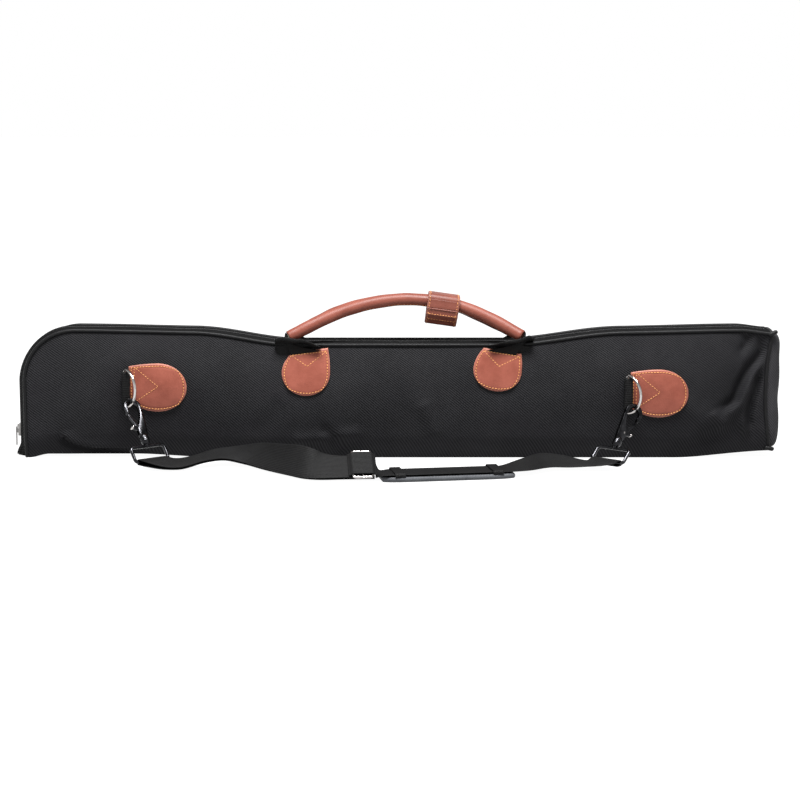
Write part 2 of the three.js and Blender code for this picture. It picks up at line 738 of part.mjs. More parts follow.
function handlePoints(side) {
  return HANDLE_LINE.map(([x, y, z]) => {
    const ends = smooth(x, -124, -70) * (1 - smooth(x, 110, 146));
    const drop = side > 0 ? ends * (1.5 + 4 * smooth(x, 60, 110)) : 0;
    return vec(x, side * y, z - drop);
  });
}

function addHandles() {
  for (const [name, side] of [
    ['front', -1],
    ['back', 1],
  ]) {
    const points = handlePoints(side);
    add(`handle_${name}`, 'leather', rod(disc(HANDLE_R, CORE_R + GAP), points, 20));
    add(`handle_core_${name}`, 'core', rod(disc(CORE_R), points, 20));
  }
}

const WRAP_CENTRE = vec(54, 0, 171.2);
const WRAP_TURN = rad(-8);
const WRAP_LENGTH = 37;
const WRAP_HALF = 2 * HANDLE_R + 3.8;
const WRAP_SHOULDER = 4; // where its sides start to slope in

// The wrap's section, seen along the handles: a sleeve round both, pinched flat below them.
function wrapOutline(inset) {
  const half = WRAP_HALF - inset;
  const top = 19.4 - inset;
  const bottom = -17.5 + inset;
  const foot = 7 - inset * 0.6;
  const outline = new THREE.Shape();
  outline.moveTo(-half, WRAP_SHOULDER);
  outline.lineTo(-half, top - 6);
  outline.quadraticCurveTo(-half, top, -half + 6, top);
  outline.lineTo(half - 6, top);
  outline.quadraticCurveTo(half, top, half, top - 6);
  outline.lineTo(half, WRAP_SHOULDER);
  outline.lineTo(foot, bottom + 4);
  outline.quadraticCurveTo(foot - 2, bottom, 0, bottom);
  outline.quadraticCurveTo(2 - foot, bottom, -foot, bottom + 4);
  outline.closePath();
  return outline;
}

function addWrap() {
  const group = new THREE.Group();
  group.position.copy(WRAP_CENTRE);
  const up = vec(-Math.sin(WRAP_TURN), 0, Math.cos(WRAP_TURN));
  const back = vec(0, 1, 0);
  group.quaternion.setFromRotationMatrix(
    new THREE.Matrix4().makeBasis(back, up, back.clone().cross(up)),
  );
  carryCase.add(group);
  const bore = solid(plate(wrapOutline(2), 2 * WRAP_LENGTH, 4));
  const sleeve = solid(plate(wrapOutline(0), WRAP_LENGTH, 4)).subtract(bore);
  add('handle_wrap', 'leather', meshed(sleeve), group);

  // The flap closes over the sleeve's front face, which slopes in towards the bottom.
  const corner = new THREE.Vector2(-WRAP_HALF, WRAP_SHOULDER);
  const slope = new THREE.Vector2(-7, -13.5).sub(corner).normalize();
  const outwards = new THREE.Vector2(slope.y, -slope.x);
  const layer = (from, to, offset, thickness) => {
    const p = (t, d) => corner.clone().addScaledVector(slope, t).addScaledVector(outwards, d);
    return new THREE.Shape([
      p(from, offset),
      p(to, offset),
      p(to, offset + thickness),
      p(from, offset + thickness),
    ]);
  };
  const patch = [5, 14];
  add('wrap_loop_patch', 'velcro', plate(layer(...patch, 0.3, 0.6), 24), group);
  add('wrap_hook_patch', 'velcro', plate(layer(...patch, 1.2, 0.6), 24), group);
  add('wrap_flap', 'leather', plate(layer(0, 17, 2.1, 1.6), WRAP_LENGTH, 4), group);
}

// Folded webbing that comes out of a handle's end, turns down in front of the piping and is sewn
// to the panel above the handle's patch.
function handleWeb({ centre, size, turn, skew }, outer, line, side) {
  const [end, next] = outer < 0 ? [line[0], line[1]] : [line[line.length - 1], line[line.length - 2]];
  const away = end.clone().sub(next).normalize();
  const across = vec(-away.z, 0, away.x).normalize().multiplyScalar(outer);
  const top = new THREE.Vector2(-size[0] / 2 - 1, 0);
  return bentSheet(6, 3, (u, v, w) => {
    const wide = mix(-19, 29, v);
    const foot = top.clone().add(new THREE.Vector2((skew * outer * wide) / 21.5, outer * wide));
    foot.rotateAround(new THREE.Vector2(), rad(turn));
    const low = vec(centre[0] + foot.x, 0, centre[1] + foot.y);
    low.y = side * (Math.max(panelDepth(low.x, low.z), GUSSET_HALF + PIPING_R) + GAP);
    const high = end.clone().addScaledVector(away, 0.6).addScaledVector(across, 6 * (2 * v - 1));
    const knee = high.clone().addScaledVector(away, 5);
    knee.y += side * 8;
    return low
      .multiplyScalar((1 - u) ** 2)
      .addScaledVector(knee, 2 * u * (1 - u))
      .addScaledVector(high, u * u)
      .add(vec(0, side * 1.4 * w, 0));
  });
}

function addHandleWebs() {
  for (const [where, tab] of Object.entries(HANDLE_TABS)) {
    const outer = where === 'left' ? -1 : 1;
    for (const [name, side] of [
      ['front', -1],
      ['back', 1],
    ]) {
      const web = handleWeb(tab, outer, handlePoints(side), side);
      add(`handle_web_${name}_${where}`, 'webbing', web);
    }
  }
}

// The zip's slider rides on the outside of the chain at the foot of the left end.
function addSlider() {
  const face = SEAM_LEFT - CROWN_END - 0.6 - GAP;
  const body = new THREE.BoxGeometry(4, 10, 14).translate(face - 2, 0, 30);
  const bridge = new THREE.BoxGeometry(2, 3, 10).translate(face - 4.6, 0, 31);
  const hole = new THREE.BoxGeometry(2.4, 5, 3).translate(face - 4, 0, 32);
  const slider = solid(body).add(solid(bridge)).subtract(solid(hole));
  add('zip_slider', 'chrome', meshed(slider));
  const tab = new THREE.Shape();
  tab.moveTo(-3.5, 3.2);
  tab.lineTo(-3.5, -17);
  tab.quadraticCurveTo(0, -21, 3.5, -17);
  tab.lineTo(3.5, 3.2);
  tab.closePath();
  const slot = new THREE.BoxGeometry(4.8, 5.4, 4).translate(0, -0.9, 0);
  const pull = meshed(solid(plate(tab, 1.2, 4)).subtract(solid(slot)));
  pull.applyMatrix4(new THREE.Matrix4().makeBasis(vec(0, 1, 0), vec(0, 0, 1), vec(1, 0, 0)));
  add('zip_pull', 'chrome', pull.translate(face - 6.6, 0, 30));
}

addPanels();
addBase();
addEndCap();
addTabs();
const leftSide = addRingSide('left', RINGS.left);
const rightSide = addRingSide('right', RINGS.right);
addStrap(leftSide, rightSide);
addGlide();
addPad();
addHandles();
addWrap();
addHandleWebs();
addSlider();

export default carryCase;
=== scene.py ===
"""A soft carry case for a small telescope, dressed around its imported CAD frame.

Shapes are worked out in millimetres in the frame's own axes: +X along the case, +Z up, front to -Y.
"""

import math

import bpy
import numpy as np
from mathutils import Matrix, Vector


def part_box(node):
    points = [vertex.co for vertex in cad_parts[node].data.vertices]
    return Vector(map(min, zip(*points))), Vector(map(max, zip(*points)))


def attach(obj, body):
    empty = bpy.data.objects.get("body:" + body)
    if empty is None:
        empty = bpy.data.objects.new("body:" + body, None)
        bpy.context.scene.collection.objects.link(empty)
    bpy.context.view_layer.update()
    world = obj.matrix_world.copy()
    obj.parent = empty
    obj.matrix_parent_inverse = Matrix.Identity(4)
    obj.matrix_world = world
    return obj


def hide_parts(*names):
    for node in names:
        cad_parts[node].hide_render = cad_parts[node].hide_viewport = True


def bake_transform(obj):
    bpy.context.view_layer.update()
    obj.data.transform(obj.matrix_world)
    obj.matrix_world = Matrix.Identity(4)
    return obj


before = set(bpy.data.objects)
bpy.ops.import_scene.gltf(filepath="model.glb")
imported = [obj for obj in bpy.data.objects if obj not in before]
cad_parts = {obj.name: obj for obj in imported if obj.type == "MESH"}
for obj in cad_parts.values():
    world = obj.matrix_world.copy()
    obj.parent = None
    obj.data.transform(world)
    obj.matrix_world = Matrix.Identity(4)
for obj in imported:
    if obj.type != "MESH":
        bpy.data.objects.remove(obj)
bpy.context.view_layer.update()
MM = 0.001

# Driving dimensions, read from the frame where it holds them


def corners(node):
    low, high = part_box(node)
    return np.array(low) / MM, np.array(high) / MM


PIPING_R = 2.0
SEAM_LEFT = corners("piping_front")[0][0] + PIPING_R
SEAM_TOP = corners("piping_front")[1][2] - PIPING_R
SEAM_RIGHT = float(np.mean([c[0] for c in corners("piping_end_cap")]))
GUSSET_HALF = -float(np.mean([c[1] for c in corners("piping_front")]))
CORNER_R = 60.0  # rounded top left corner
SAG = 14.0  # how far the top sags under the handles
SLOPE = 3.0  # how far it falls from its ends towards the handles
FOOT_INSET = 7.8  # how far a panel comes in at its foot
BULGE = 10.0
CLOTH = 1.2
SEAM_INSET = 1.2  # a panel ends inside its piping
CROWN_END, CROWN_TOP = 9.2, 1.6  # how far the gusset crowns past its seams
ZIP_HALF = 4.2
CAP_BULGE = 15.0
LEATHER = 2.0
WEBBING = 1.3
STRAP_WIDTH = 38.0
HANDLE_R, CORE_R = 7.2, 4.6
UP = np.array([0.0, 0.0, 1.0])
TURN = 2 * math.pi
FACES = (("front", -1), ("back", 1))  # each with the sign of its y

# Small maths


def smooth(x, low, high):
    t = np.clip((np.asarray(x, float) - low) / (high - low), 0, 1)
    return t * t * (3 - 2 * t)


def mix(a, b, t):
    return a + (b - a) * t


def vec(*xyz):
    return np.array(xyz, float)


def unit(v):
    v = np.asarray(v, float)
    return v / np.maximum(np.linalg.norm(v, axis=-1, keepdims=True), 1e-9)


def catmull(points, per_segment, closed=False):
    """A centripetal Catmull-Rom curve through the points."""
    p = np.asarray(points, float)
    if closed:
        p = np.vstack([p[-1:], p, p[:2]])
    else:
        p = np.vstack([2 * p[0] - p[1], p, 2 * p[-1] - p[-2]])
    runs = []
    t = np.linspace(0, 1, per_segment, endpoint=False)[:, None]
    for a, b, c, d in zip(p, p[1:], p[2:], p[3:]):
        d0, d1, d2 = (math.sqrt(max(np.linalg.norm(v), 1e-9)) for v in (b - a, c - b, d - c))
        m1 = ((b - a) / d0 - (c - a) / (d0 + d1) + (c - b) / d1) * d1
        m2 = ((c - b) / d1 - (d - b) / (d1 + d2) + (d - c) / d2) * d1
        cubic = (2 * b - 2 * c + m1 + m2) * t**3 + (3 * c - 3 * b - 2 * m1 - m2) * t**2
        runs.append(cubic + m1 * t + b)
    if not closed:
        runs.append(p[-2:-1])
    return np.vstack(runs)


def run_along(points):
    """How far along the polyline each of its points is."""
    return np.concatenate([[0], np.cumsum(np.linalg.norm(np.diff(points, axis=0), axis=1))])


def sampled(points, run, at):
    """The values of a line's points at those distances along it."""
    return np.stack([np.interp(at, run, points[:, i]) for i in range(points.shape[1])], 1)


def even(points, count):
    """The polyline resampled to that many points at even steps."""
    points = np.asarray(points, float)
    run = run_along(points)
    return sampled(points, run, np.linspace(0, run[-1], count))


def length_of(points):
    return float(np.linalg.norm(np.diff(points, axis=0), axis=1).sum())


def tangents(points, closed=False):
    if closed:
        return unit(np.roll(points, -1, 0) - np.roll(points, 1, 0))
    return unit(np.gradient(points, axis=0))


def arc(x, y, radius, start, end, steps):
    angle = np.linspace(start, end, steps + 1)
    return np.stack([x + radius * np.cos(angle), y + radius * np.sin(angle)], 1)


def looped(outline, count):
    """A closed outline resampled to that many points at even steps."""
    return even(np.vstack([outline, outline[:1]]), count + 1)[:-1]


def rounded_box(half_x, low, high, corner, count):
    """A rectangle's outline with rounded corners, as that many points."""
    low, high, x = low + corner, high - corner, half_x - corner
    places = ((x, low, -90), (x, high, 0), (-x, high, 90), (-x, low, 180))
    arcs = [arc(a, b, corner, math.radians(turn), math.radians(turn + 90), 6) for a, b, turn in places]
    return looped(np.vstack(arcs), count)


def softened(outline, rounds=2):
    """A closed outline with its corners cut off, that many times over."""
    for _ in range(rounds):
        after = np.roll(outline, -1, 0)
        outline = np.stack([mix(outline, after, 0.25), mix(outline, after, 0.75)], 1).reshape(-1, 2)
    return outline


# Mesh building


def make(name, points, faces, material, uv=None, marks=None):
    """A mesh object from points in millimetres. uv is one pair a point; marks are named numbers a point."""
    mesh = bpy.data.meshes.new(name)
    mesh.from_pydata((np.asarray(points) * MM).tolist(), [], faces)
    if signed_volume(mesh) < 0:
        mesh.flip_normals()
    if uv is not None:
        corner_vertex = np.zeros(len(mesh.loops), np.int32)
        mesh.loops.foreach_get("vertex_index", corner_vertex)
        layer = mesh.uv_layers.new(name="weave")
        layer.data.foreach_set("uv", np.asarray(uv, np.float32)[corner_vertex].ravel())
    for mark, values in (marks or {}).items():
        attribute = mesh.attributes.new(mark, "FLOAT", "POINT")
        attribute.data.foreach_set("value", np.asarray(values, np.float32))
    mesh.polygons.foreach_set("use_smooth", [True] * len(mesh.polygons))
    mesh.materials.append(material)
    obj = bpy.data.objects.new(name, mesh)
    bpy.context.scene.collection.objects.link(obj)
    return obj


def signed_volume(mesh):
    mesh.calc_loop_triangles()
    corner = np.zeros(len(mesh.loop_triangles) * 3, np.int32)
    mesh.loop_triangles.foreach_get("vertices", corner)
    place = np.zeros(len(mesh.vertices) * 3, np.float32)
    mesh.vertices.foreach_get("co", place)
    a, b, c = place.reshape(-1, 3).astype(float)[corner.reshape(-1, 3)].transpose(1, 0, 2)
    return float(np.einsum("ij,ij->i", a, np.cross(b, c)).sum())


def quads_over(index):
    return np.stack([index[:-1, :-1], index[:-1, 1:], index[1:, 1:], index[1:, :-1]], -1).reshape(-1, 4)


def grid_faces(rows, columns, wrap=False):
    """Quads over a grid of points. With wrap, the last row joins the first."""
    index = np.arange(rows * columns).reshape(rows, columns)
    return quads_over(np.vstack([index, index[:1]]) if wrap else index)


def round_index(rows, sides):
    """The indices of a stack of rings, each ring's first point again at its end."""
    index = np.arange(rows * sides).reshape(rows, sides)
    return np.hstack([index, index[:, :1]])


def rim_pairs(rows, columns, wrap=False):
    """The grid's outer edges, each as two points in the order that its faces run."""
    index = np.arange(rows * columns).reshape(rows, columns)
    if wrap:
        sides = [np.append(index[:, 0], index[0, 0])[::-1], np.append(index[:, -1], index[0, -1])]
    else:
        sides = [index[0], index[:, -1], index[-1, ::-1], index[::-1, 0]]
    return [(a, b) for side in sides for a, b in zip(side[:-1], side[1:])]


def shell(name, outer, inner, material, wrap=False, uv=None, marks=None):
    """A closed sheet between two grids of points, each (rows, columns, 3)."""
    rows, columns = outer.shape[:2]
    count = rows * columns
    quads = grid_faces(rows, columns, wrap)
    faces = quads.tolist() + (quads[:, ::-1] + count).tolist()
    faces += [[int(b), int(a), int(a) + count, int(b) + count] for a, b in rim_pairs(rows, columns, wrap)]
    points = np.vstack([outer.reshape(-1, 3), inner.reshape(-1, 3)])
    both = None if uv is None else np.vstack([uv.reshape(-1, 2)] * 2)
    doubled = {key: np.tile(np.ravel(value), 2) for key, value in (marks or {}).items()}
    return make(name, points, faces, material, both, doubled)


def ring_frames(centres, closed):
    """Two directions across a path at each point, carried along it without twisting."""
    along = tangents(centres, closed)
    start = np.cross(along[0], UP if abs(along[0][2]) < 0.9 else vec(0, 1, 0))
    side = [unit(start)]
    for t in along[1:]:
        carried = side[-1] - t * np.dot(side[-1], t)
        side.append(unit(carried))
    side = np.array(side)
    if closed:
        slip = math.atan2(np.dot(np.cross(side[-1], side[0]), along[0]), np.dot(side[-1], side[0]))
        angle = slip * np.linspace(0, 1, len(side))[:, None]
        side = side * np.cos(angle) + np.cross(along, side) * np.sin(angle)
    return side, np.cross(along, side)


def rings(centres, radius, sides, closed=False):
    side, over = ring_frames(centres, closed)
    angle = np.linspace(0, TURN, sides, endpoint=False)
    across = side[:, None] * np.cos(angle)[:, None] + over[:, None] * np.sin(angle)[:, None]
    return centres[:, None] + across * np.broadcast_to(radius, len(centres))[:, None, None]


def tube(name, centres, radius, material, sides=12, closed=False):
    """A round cord or wire along a path, with rounded ends where it is open."""
    centres = np.asarray(centres, float)
    radii = np.broadcast_to(radius, len(centres)).astype(float)
    if not closed:
        centres, radii = with_round_ends(centres, radii)
    grid = rings(centres, radii, sides, closed)
    index = round_index(len(centres), sides)
    if closed:
        index = np.vstack([index, index[:1]])
    faces = quads_over(index).tolist()
    if not closed:
        faces += [index[0, :-1][::-1].tolist(), index[-1, :-1].tolist()]
    run = run_along(centres)
    around = np.linspace(0, TURN * radii.max(), sides)
    uv = np.stack(np.meshgrid(run, around, indexing="ij"), -1)
    return make(name, grid.reshape(-1, 3), faces, material, uv.reshape(-1, 2))


def with_round_ends(centres, radii):
    along = tangents(centres)
    bend = np.array([0.25, 0.6, 0.95])
    out, small = np.cos(bend * math.pi / 2), np.sin(bend * math.pi / 2)
    head = centres[0] - along[0] * (radii[0] * out)[:, None]
    tail = centres[-1] + along[-1] * (radii[-1] * out[::-1])[:, None]
    radii = np.concatenate([radii[0] * small, radii, radii[-1] * small[::-1]])
    return np.vstack([head, centres, tail]), radii


def ribbon(name, near, far, thick, material, lift=0.0, wrap=False):
    """Webbing or a leather band between two edges, with thinner selvages."""
    out = unit(np.cross(tangents((near + far) / 2, wrap), far - near))
    t = (1 - np.cos(np.linspace(0, math.pi, 13))) / 2
    half = thick / 2 * (0.3 + 0.7 * np.sqrt(1 - (2 * t - 1) ** 16))
    middle = near[:, None] + (far - near)[:, None] * t[None, :, None]
    middle = middle + out[:, None] * np.broadcast_to(lift, len(near))[:, None, None]
    offset = out[:, None] * half[None, :, None]
    run = run_along((near + far) / 2)
    wide = float(np.linalg.norm(far - near, axis=1).mean())
    uv = np.stack(np.meshgrid(run, t * wide, indexing="ij"), -1)
    edge = np.broadcast_to(smooth(np.abs(2 * t - 1), 1 - 3.0 / wide, 1), uv.shape[:2])
    return shell(name, middle + offset, middle - offset, material, wrap, uv, {"edge": edge})


def plate(name, outline, thick, bevel, place, material):
    """A flat plate with rounded edges. place turns its own x, y, z into the frame's."""
    tangent = np.roll(outline, -1, 0) - np.roll(outline, 1, 0)
    inwards = unit(np.stack([-tangent[:, 1], tangent[:, 0]], 1))
    area = np.sum(outline[:, 0] * np.roll(outline[:, 1], -1) - outline[:, 1] * np.roll(outline[:, 0], -1))
    inwards *= np.sign(area)
    levels = [(1, 0), (0.3, 0.3), (0, 1)]
    stack = [(a, -thick / 2 + b * bevel) for a, b in levels]
    stack += [(a, thick / 2 - b * bevel) for a, b in reversed(levels)]
    count = len(outline)
    layers = [np.column_stack([outline + inwards * bevel * a, np.full(count, z)]) for a, z in stack]
    index = round_index(len(layers), count)
    faces = quads_over(index).tolist()
    faces += [index[0, :-1][::-1].tolist(), index[-1, :-1].tolist()]
    return make(name, place(np.vstack(layers)), faces, material)


def stitches(name, rows, pitch=3.4, length=2.6, radius=0.52):
    """Rows of thread. Each row is the points that it follows and the way out of the material there."""
    centres, along, outs = [], [], []
    for points, out in rows:
        run = run_along(points)
        count = max(int(run[-1] / pitch), 1)
        at = (np.arange(count) + 0.5) * run[-1] / count
        centres.append(sampled(points, run, at))
        along.append(sampled(tangents(points), run, at))
        outs.append(sampled(np.broadcast_to(out, points.shape), run, at))
    centres, along, outs = (np.vstack(v) for v in (centres, along, outs))
    side = unit(np.cross(outs, along))
    along = unit(along + 0.14 * side)
    side, outs = unit(np.cross(outs, along)), unit(outs)
    return grains(name, centres, (along, side, outs), vec(length / 2, radius, radius), THREAD)


def grains(name, centres, axes, half_size, material):
    """A seed at each centre, turned to the axes there, all in one mesh."""
    local, faces = seed_shape()
    local = local * half_size
    points = centres[:, None] + np.einsum("vk,skj->svj", local, np.stack(axes, 1))
    every = [[i + k * len(local) for i in face] for k in range(len(centres)) for face in faces]
    return make(name, points.reshape(-1, 3), every, material)


def seed_shape():
    """The points and faces of one stitch or zip tooth: a short rounded grain along x."""
    angle = np.linspace(0, TURN, 6, endpoint=False)
    points = [[-1, 0, 0]]
    for x, r in ((-0.75, 0.7), (0, 1), (0.75, 0.7)):
        points += [[x, r * math.cos(a), r * math.sin(a)] for a in angle]
    points.append([1, 0, 0])
    ring = [[1 + 6 * k + i for i in range(6)] for k in range(3)]
    faces = [[0, ring[0][(i + 1) % 6], ring[0][i]] for i in range(6)]
    for low, high in zip(ring, ring[1:]):
        faces += [[low[i], low[(i + 1) % 6], high[(i + 1) % 6], high[i]] for i in range(6)]
    faces += [[19, ring[2][i], ring[2][(i + 1) % 6]] for i in range(6)]
    return np.array(points, float), faces


# Materials


class Shader:
    """A material's node tree, with short calls for adding to it."""

    def __init__(self, name, **settings):
        self.material = bpy.data.materials.new(name)
        self.material.use_nodes = True
        self.tree = self.material.node_tree
        self.surface = self.tree.nodes["Principled BSDF"]
        self.put(self.surface, settings)

    def put(self, node, inputs):
        for name, value in inputs.items():
            socket = node.inputs[name.replace("_", " ") if isinstance(name, str) else name]
            if isinstance(value, bpy.types.NodeSocket):
                self.tree.links.new(value, socket)
            else:
                socket.default_value = value

    def add(self, kind, inputs=None, **properties):
        node = self.tree.nodes.new(kind)
        for name, value in properties.items():
            setattr(node, name, value)
        self.put(node, inputs or {})
        return node

    def maths(self, operation, a, b=0.0):
        return self.add("ShaderNodeMath", {0: a, 1: b}, operation=operation).outputs[0]

    def place(self):
        return self.add("ShaderNodeTexCoord").outputs["Object"]

    def weave(self):
        return self.add("ShaderNodeUVMap", uv_map="weave").outputs[0]

    def along(self, where, direction):
        node = self.add("ShaderNodeVectorMath", {0: where, 1: direction}, operation="DOT_PRODUCT")
        return node.outputs["Value"]

    def ribs(self, where, direction, pitch):
        """A wave from 0 to 1 across the ribs."""
        phase = self.maths("MULTIPLY", self.along(where, direction), TURN / pitch)
        wave = {0: self.maths("SINE", phase), 1: 0.5, 2: 0.5}
        return self.add("ShaderNodeMath", wave, operation="MULTIPLY_ADD").outputs[0]

    def noise(self, scale, detail=3.0, roughness=0.5, where=None):
        inputs = {"Vector": where or self.place(), "Scale": scale, "Detail": detail, "Roughness": roughness}
        return self.add("ShaderNodeTexNoise", inputs).outputs[0]

    def blend(self, factor, a, b):
        node = self.add("ShaderNodeMix", data_type="RGBA")
        self.put(node, {0: factor, 6: a, 7: b})
        return node.outputs[2]

    def spread(self, value, low, high, to_low=0.0, to_high=1.0):
        inputs = {0: value, 1: low, 2: high, 3: to_low, 4: to_high}
        return self.add("ShaderNodeMapRange", inputs).outputs[0]

    def mark(self, name):
        return self.add("ShaderNodeAttribute", attribute_name=name).outputs["Fac"]

    def bump(self, height, distance, strength=1.0, over=None):
        node = self.add("ShaderNodeBump", {"Height": height, "Distance": distance, "Strength": strength})
        if over is not None:
            self.tree.links.new(over, node.inputs["Normal"])
        return node.outputs[0]

    def done(self, color=None, normal=None, roughness=None):
        links = {"Base Color": color, "Normal": normal, "Roughness": roughness}
        self.put(self.surface, {k: v for k, v in links.items() if v is not None})
        return self.material


def rgb(r, g, b):
    return (r, g, b, 1.0)


def gloss(level, roughness, **more):
    return {"Specular IOR Level": level, "Roughness": roughness, **more}


TWILL = (0.643, 0.77, 0.766)  # across the ribs, which run down to the right on the front
CROSS_TWILL = (0.766, -0.6, -0.643)


def nylon(name, dark, light):
    m = Shader(name, **gloss(0.05, 0.58))
    where = m.place()
    rib = m.ribs(where, TWILL, 0.0024)
    thread = m.ribs(where, CROSS_TWILL, 0.0013)
    cloud = m.spread(m.noise(14.0, 4.0, 0.6, where), 0.3, 0.7)
    tone = m.maths("ADD", m.maths("MULTIPLY", rib, 0.55), m.maths("MULTIPLY", cloud, 0.3))
    tone = m.maths("ADD", tone, m.maths("MULTIPLY", thread, 0.15))
    color = m.blend(tone, rgb(*dark), rgb(*light))
    height = m.maths("ADD", rib, m.maths("MULTIPLY", thread, 0.4))
    return m.done(color, m.bump(height, 0.0004, 0.85), m.spread(rib, 0, 1, 0.7, 0.5))


TANS = ((0.135, 0.032, 0.019), (0.205, 0.056, 0.036))  # the leather's darkest and its palest


def leather(name, depth):
    """depth is how pale its colour is, 1 for the patches; below 1 it is painted shade, as on the handles
    and the wrap.
    """
    m = Shader(name, **gloss(0.24, 0.4))
    where = m.place()
    cloud = m.spread(m.noise(38.0, 5.0, 0.62, where), 0.3, 0.7)
    dark, light = (rgb(*(depth * v for v in tone)) for tone in TANS)
    body = m.blend(cloud, dark, light)
    fleck = m.spread(m.noise(420.0, 2.0, 0.5, where), 0.62, 0.8, 0, 0.35)
    color = m.blend(fleck, body, rgb(0.085, 0.02, 0.013))
    rubbed = m.spread(m.noise(90.0, 3.0, 0.6, where), 0.25, 0.7, 0.1, 0.65)
    worn = m.maths("MULTIPLY", m.mark("edge"), rubbed)
    color = m.blend(worn, color, rgb(0.36, 0.17, 0.125))
    grain = m.add("ShaderNodeTexVoronoi", {"Vector": where, "Scale": 900.0}).outputs["Distance"]
    pore = m.bump(grain, 0.00022, 0.35)
    wrinkle = m.bump(m.noise(120.0, 4.0, 0.6, where), 0.0009, 0.3, pore)
    return m.done(color, wrinkle, m.spread(cloud, 0, 1, 0.42, 0.56))


def webbing():
    m = Shader("webbing", **gloss(0.12, 0.6))
    where = m.weave()
    rib = m.ribs(where, (0, 1, 0), 2.1)
    pick = m.ribs(where, (1, 0.25, 0), 1.3)
    cloud = m.spread(m.noise(40.0, 3.0, 0.6), 0.3, 0.7)
    tone = m.maths("ADD", m.maths("MULTIPLY", rib, 0.45), m.maths("MULTIPLY", cloud, 0.25))
    tone = m.maths("ADD", tone, m.maths("MULTIPLY", pick, 0.3))
    color = m.blend(tone, rgb(0.0006, 0.0006, 0.0007), rgb(0.0056, 0.0056, 0.0058))
    height = m.maths("ADD", rib, m.maths("MULTIPLY", pick, 0.5))
    return m.done(color, m.bump(height, 0.00035, 0.8))


def cord_cloth(name, dark, light, pitch, roughness=0.55):
    """A plain close weave, as on piping, tape and lining."""
    m = Shader(name, **gloss(0.12, roughness))
    where = m.place()
    one = m.ribs(where, (0.71, 0.3, 0.71), pitch)
    two = m.ribs(where, (0.71, 0.3, -0.71), pitch)
    cloud = m.spread(m.noise(60.0, 3.0, 0.6, where), 0.3, 0.7)
    tone = m.maths("MULTIPLY", m.maths("ADD", one, m.maths("ADD", two, cloud)), 0.33)
    color = m.blend(tone, rgb(*dark), rgb(*light))
    return m.done(color, m.bump(m.maths("MULTIPLY", one, two), 0.0002, 0.6))


def moulded(name, dark, light, scale, level, roughness, relief=0.0002):
    """Plastic, rubber, foam or card: mottled, with a fine skin."""
    m = Shader(name, **gloss(level, roughness))
    cloud = m.spread(m.noise(scale, 5.0, 0.65), 0.3, 0.7)
    skin = m.noise(scale * 14, 2.0, 0.5)
    color = m.blend(cloud, rgb(*dark), rgb(*light))
    rough = m.spread(cloud, 0, 1, roughness - 0.06, roughness + 0.08)
    return m.done(color, m.bump(skin, relief, 0.5), rough)


def metal(name, dark, light, rough_low, rough_high):
    m = Shader(name, Metallic=1.0)
    smear = m.spread(m.noise(90.0, 4.0, 0.6), 0.3, 0.7)
    scratch = m.noise(700.0, 2.0, 0.5)
    color = m.blend(smear, rgb(*dark), rgb(*light))
    return m.done(color, m.bump(scratch, 0.00006, 0.4), m.spread(smear, 0, 1, rough_low, rough_high))


def rubber():
    """The shoulder pad: a dark ribbed face, and a pale edge all round."""
    m = Shader("pad_rubber", **gloss(0.15, 0.6))
    where = m.weave()
    rib = m.ribs(where, (1, 0, 0), 3.2)
    cloud = m.spread(m.noise(70.0, 4.0, 0.6), 0.3, 0.7)
    face = m.blend(cloud, rgb(0.006, 0.006, 0.0065), rgb(0.011, 0.011, 0.012))
    edge = m.blend(cloud, rgb(0.045, 0.047, 0.052), rgb(0.062, 0.065, 0.07))
    color = m.blend(m.mark("edge"), face, edge)
    return m.done(color, m.bump(rib, 0.0003, 0.5))


def thread():
    m = Shader("stitching", **gloss(0.3, 0.6))
    twist = m.ribs(m.place(), (0.6, 0.5, 0.62), 0.0006)
    cloud = m.spread(m.noise(200.0, 3.0), 0.3, 0.7)
    tone = m.maths("MULTIPLY", m.maths("ADD", twist, cloud), 0.5)
    color = m.blend(tone, rgb(0.32, 0.12, 0.038), rgb(0.56, 0.265, 0.095))
    return m.done(color, m.bump(twist, 0.0001, 0.6))


NYLON = nylon("nylon_twill", (0.0025, 0.0025, 0.003), (0.0185, 0.0182, 0.0198))
# A paler copy of the same twill for the end cap: a painted highlight on its side.
LIT_CAP_NYLON = nylon("nylon_twill_painted_highlight", (0.008, 0.008, 0.009), (0.042, 0.041, 0.044))
# A darker copy of the same twill for the gusset: painted shade on the top band.
SHADED_GUSSET_NYLON = nylon("nylon_twill_shaded_gusset", (0.0006, 0.0006, 0.0007), (0.0032, 0.0032, 0.0034))
LEATHER_SKIN = leather("leather", 1.0)
# Darker copies of the patches' leather: painted shade on the handle tubes and on the wrap.
SHADED_HANDLE_LEATHER = leather("handle_leather_painted_shade", 0.76)
SHADED_WRAP_LEATHER = leather("wrap_leather_painted_shade", 0.6)
STRAPPING = webbing()
PIPING = cord_cloth("piping", (0.002, 0.002, 0.0022), (0.0075, 0.0075, 0.008), 0.0011, 0.45)
TAPE = cord_cloth("zip_tape", (0.002, 0.002, 0.0022), (0.0065, 0.0065, 0.007), 0.0014)
COIL = moulded("zip_coil", (0.003, 0.003, 0.0035), (0.01, 0.01, 0.011), 120.0, 0.4, 0.35, 0.00005)
LINING = cord_cloth("padding", (0.18, 0.18, 0.19), (0.3, 0.3, 0.31), 0.002, 0.8)
BOARD = moulded("board", (0.01, 0.01, 0.01), (0.03, 0.03, 0.03), 60.0, 0.3, 0.6)
CORD = cord_cloth("core_cord", (0.4, 0.36, 0.28), (0.7, 0.66, 0.56), 0.0025, 0.8)
CHROME = metal("chrome", (0.36, 0.34, 0.33), (0.56, 0.53, 0.52), 0.08, 0.2)
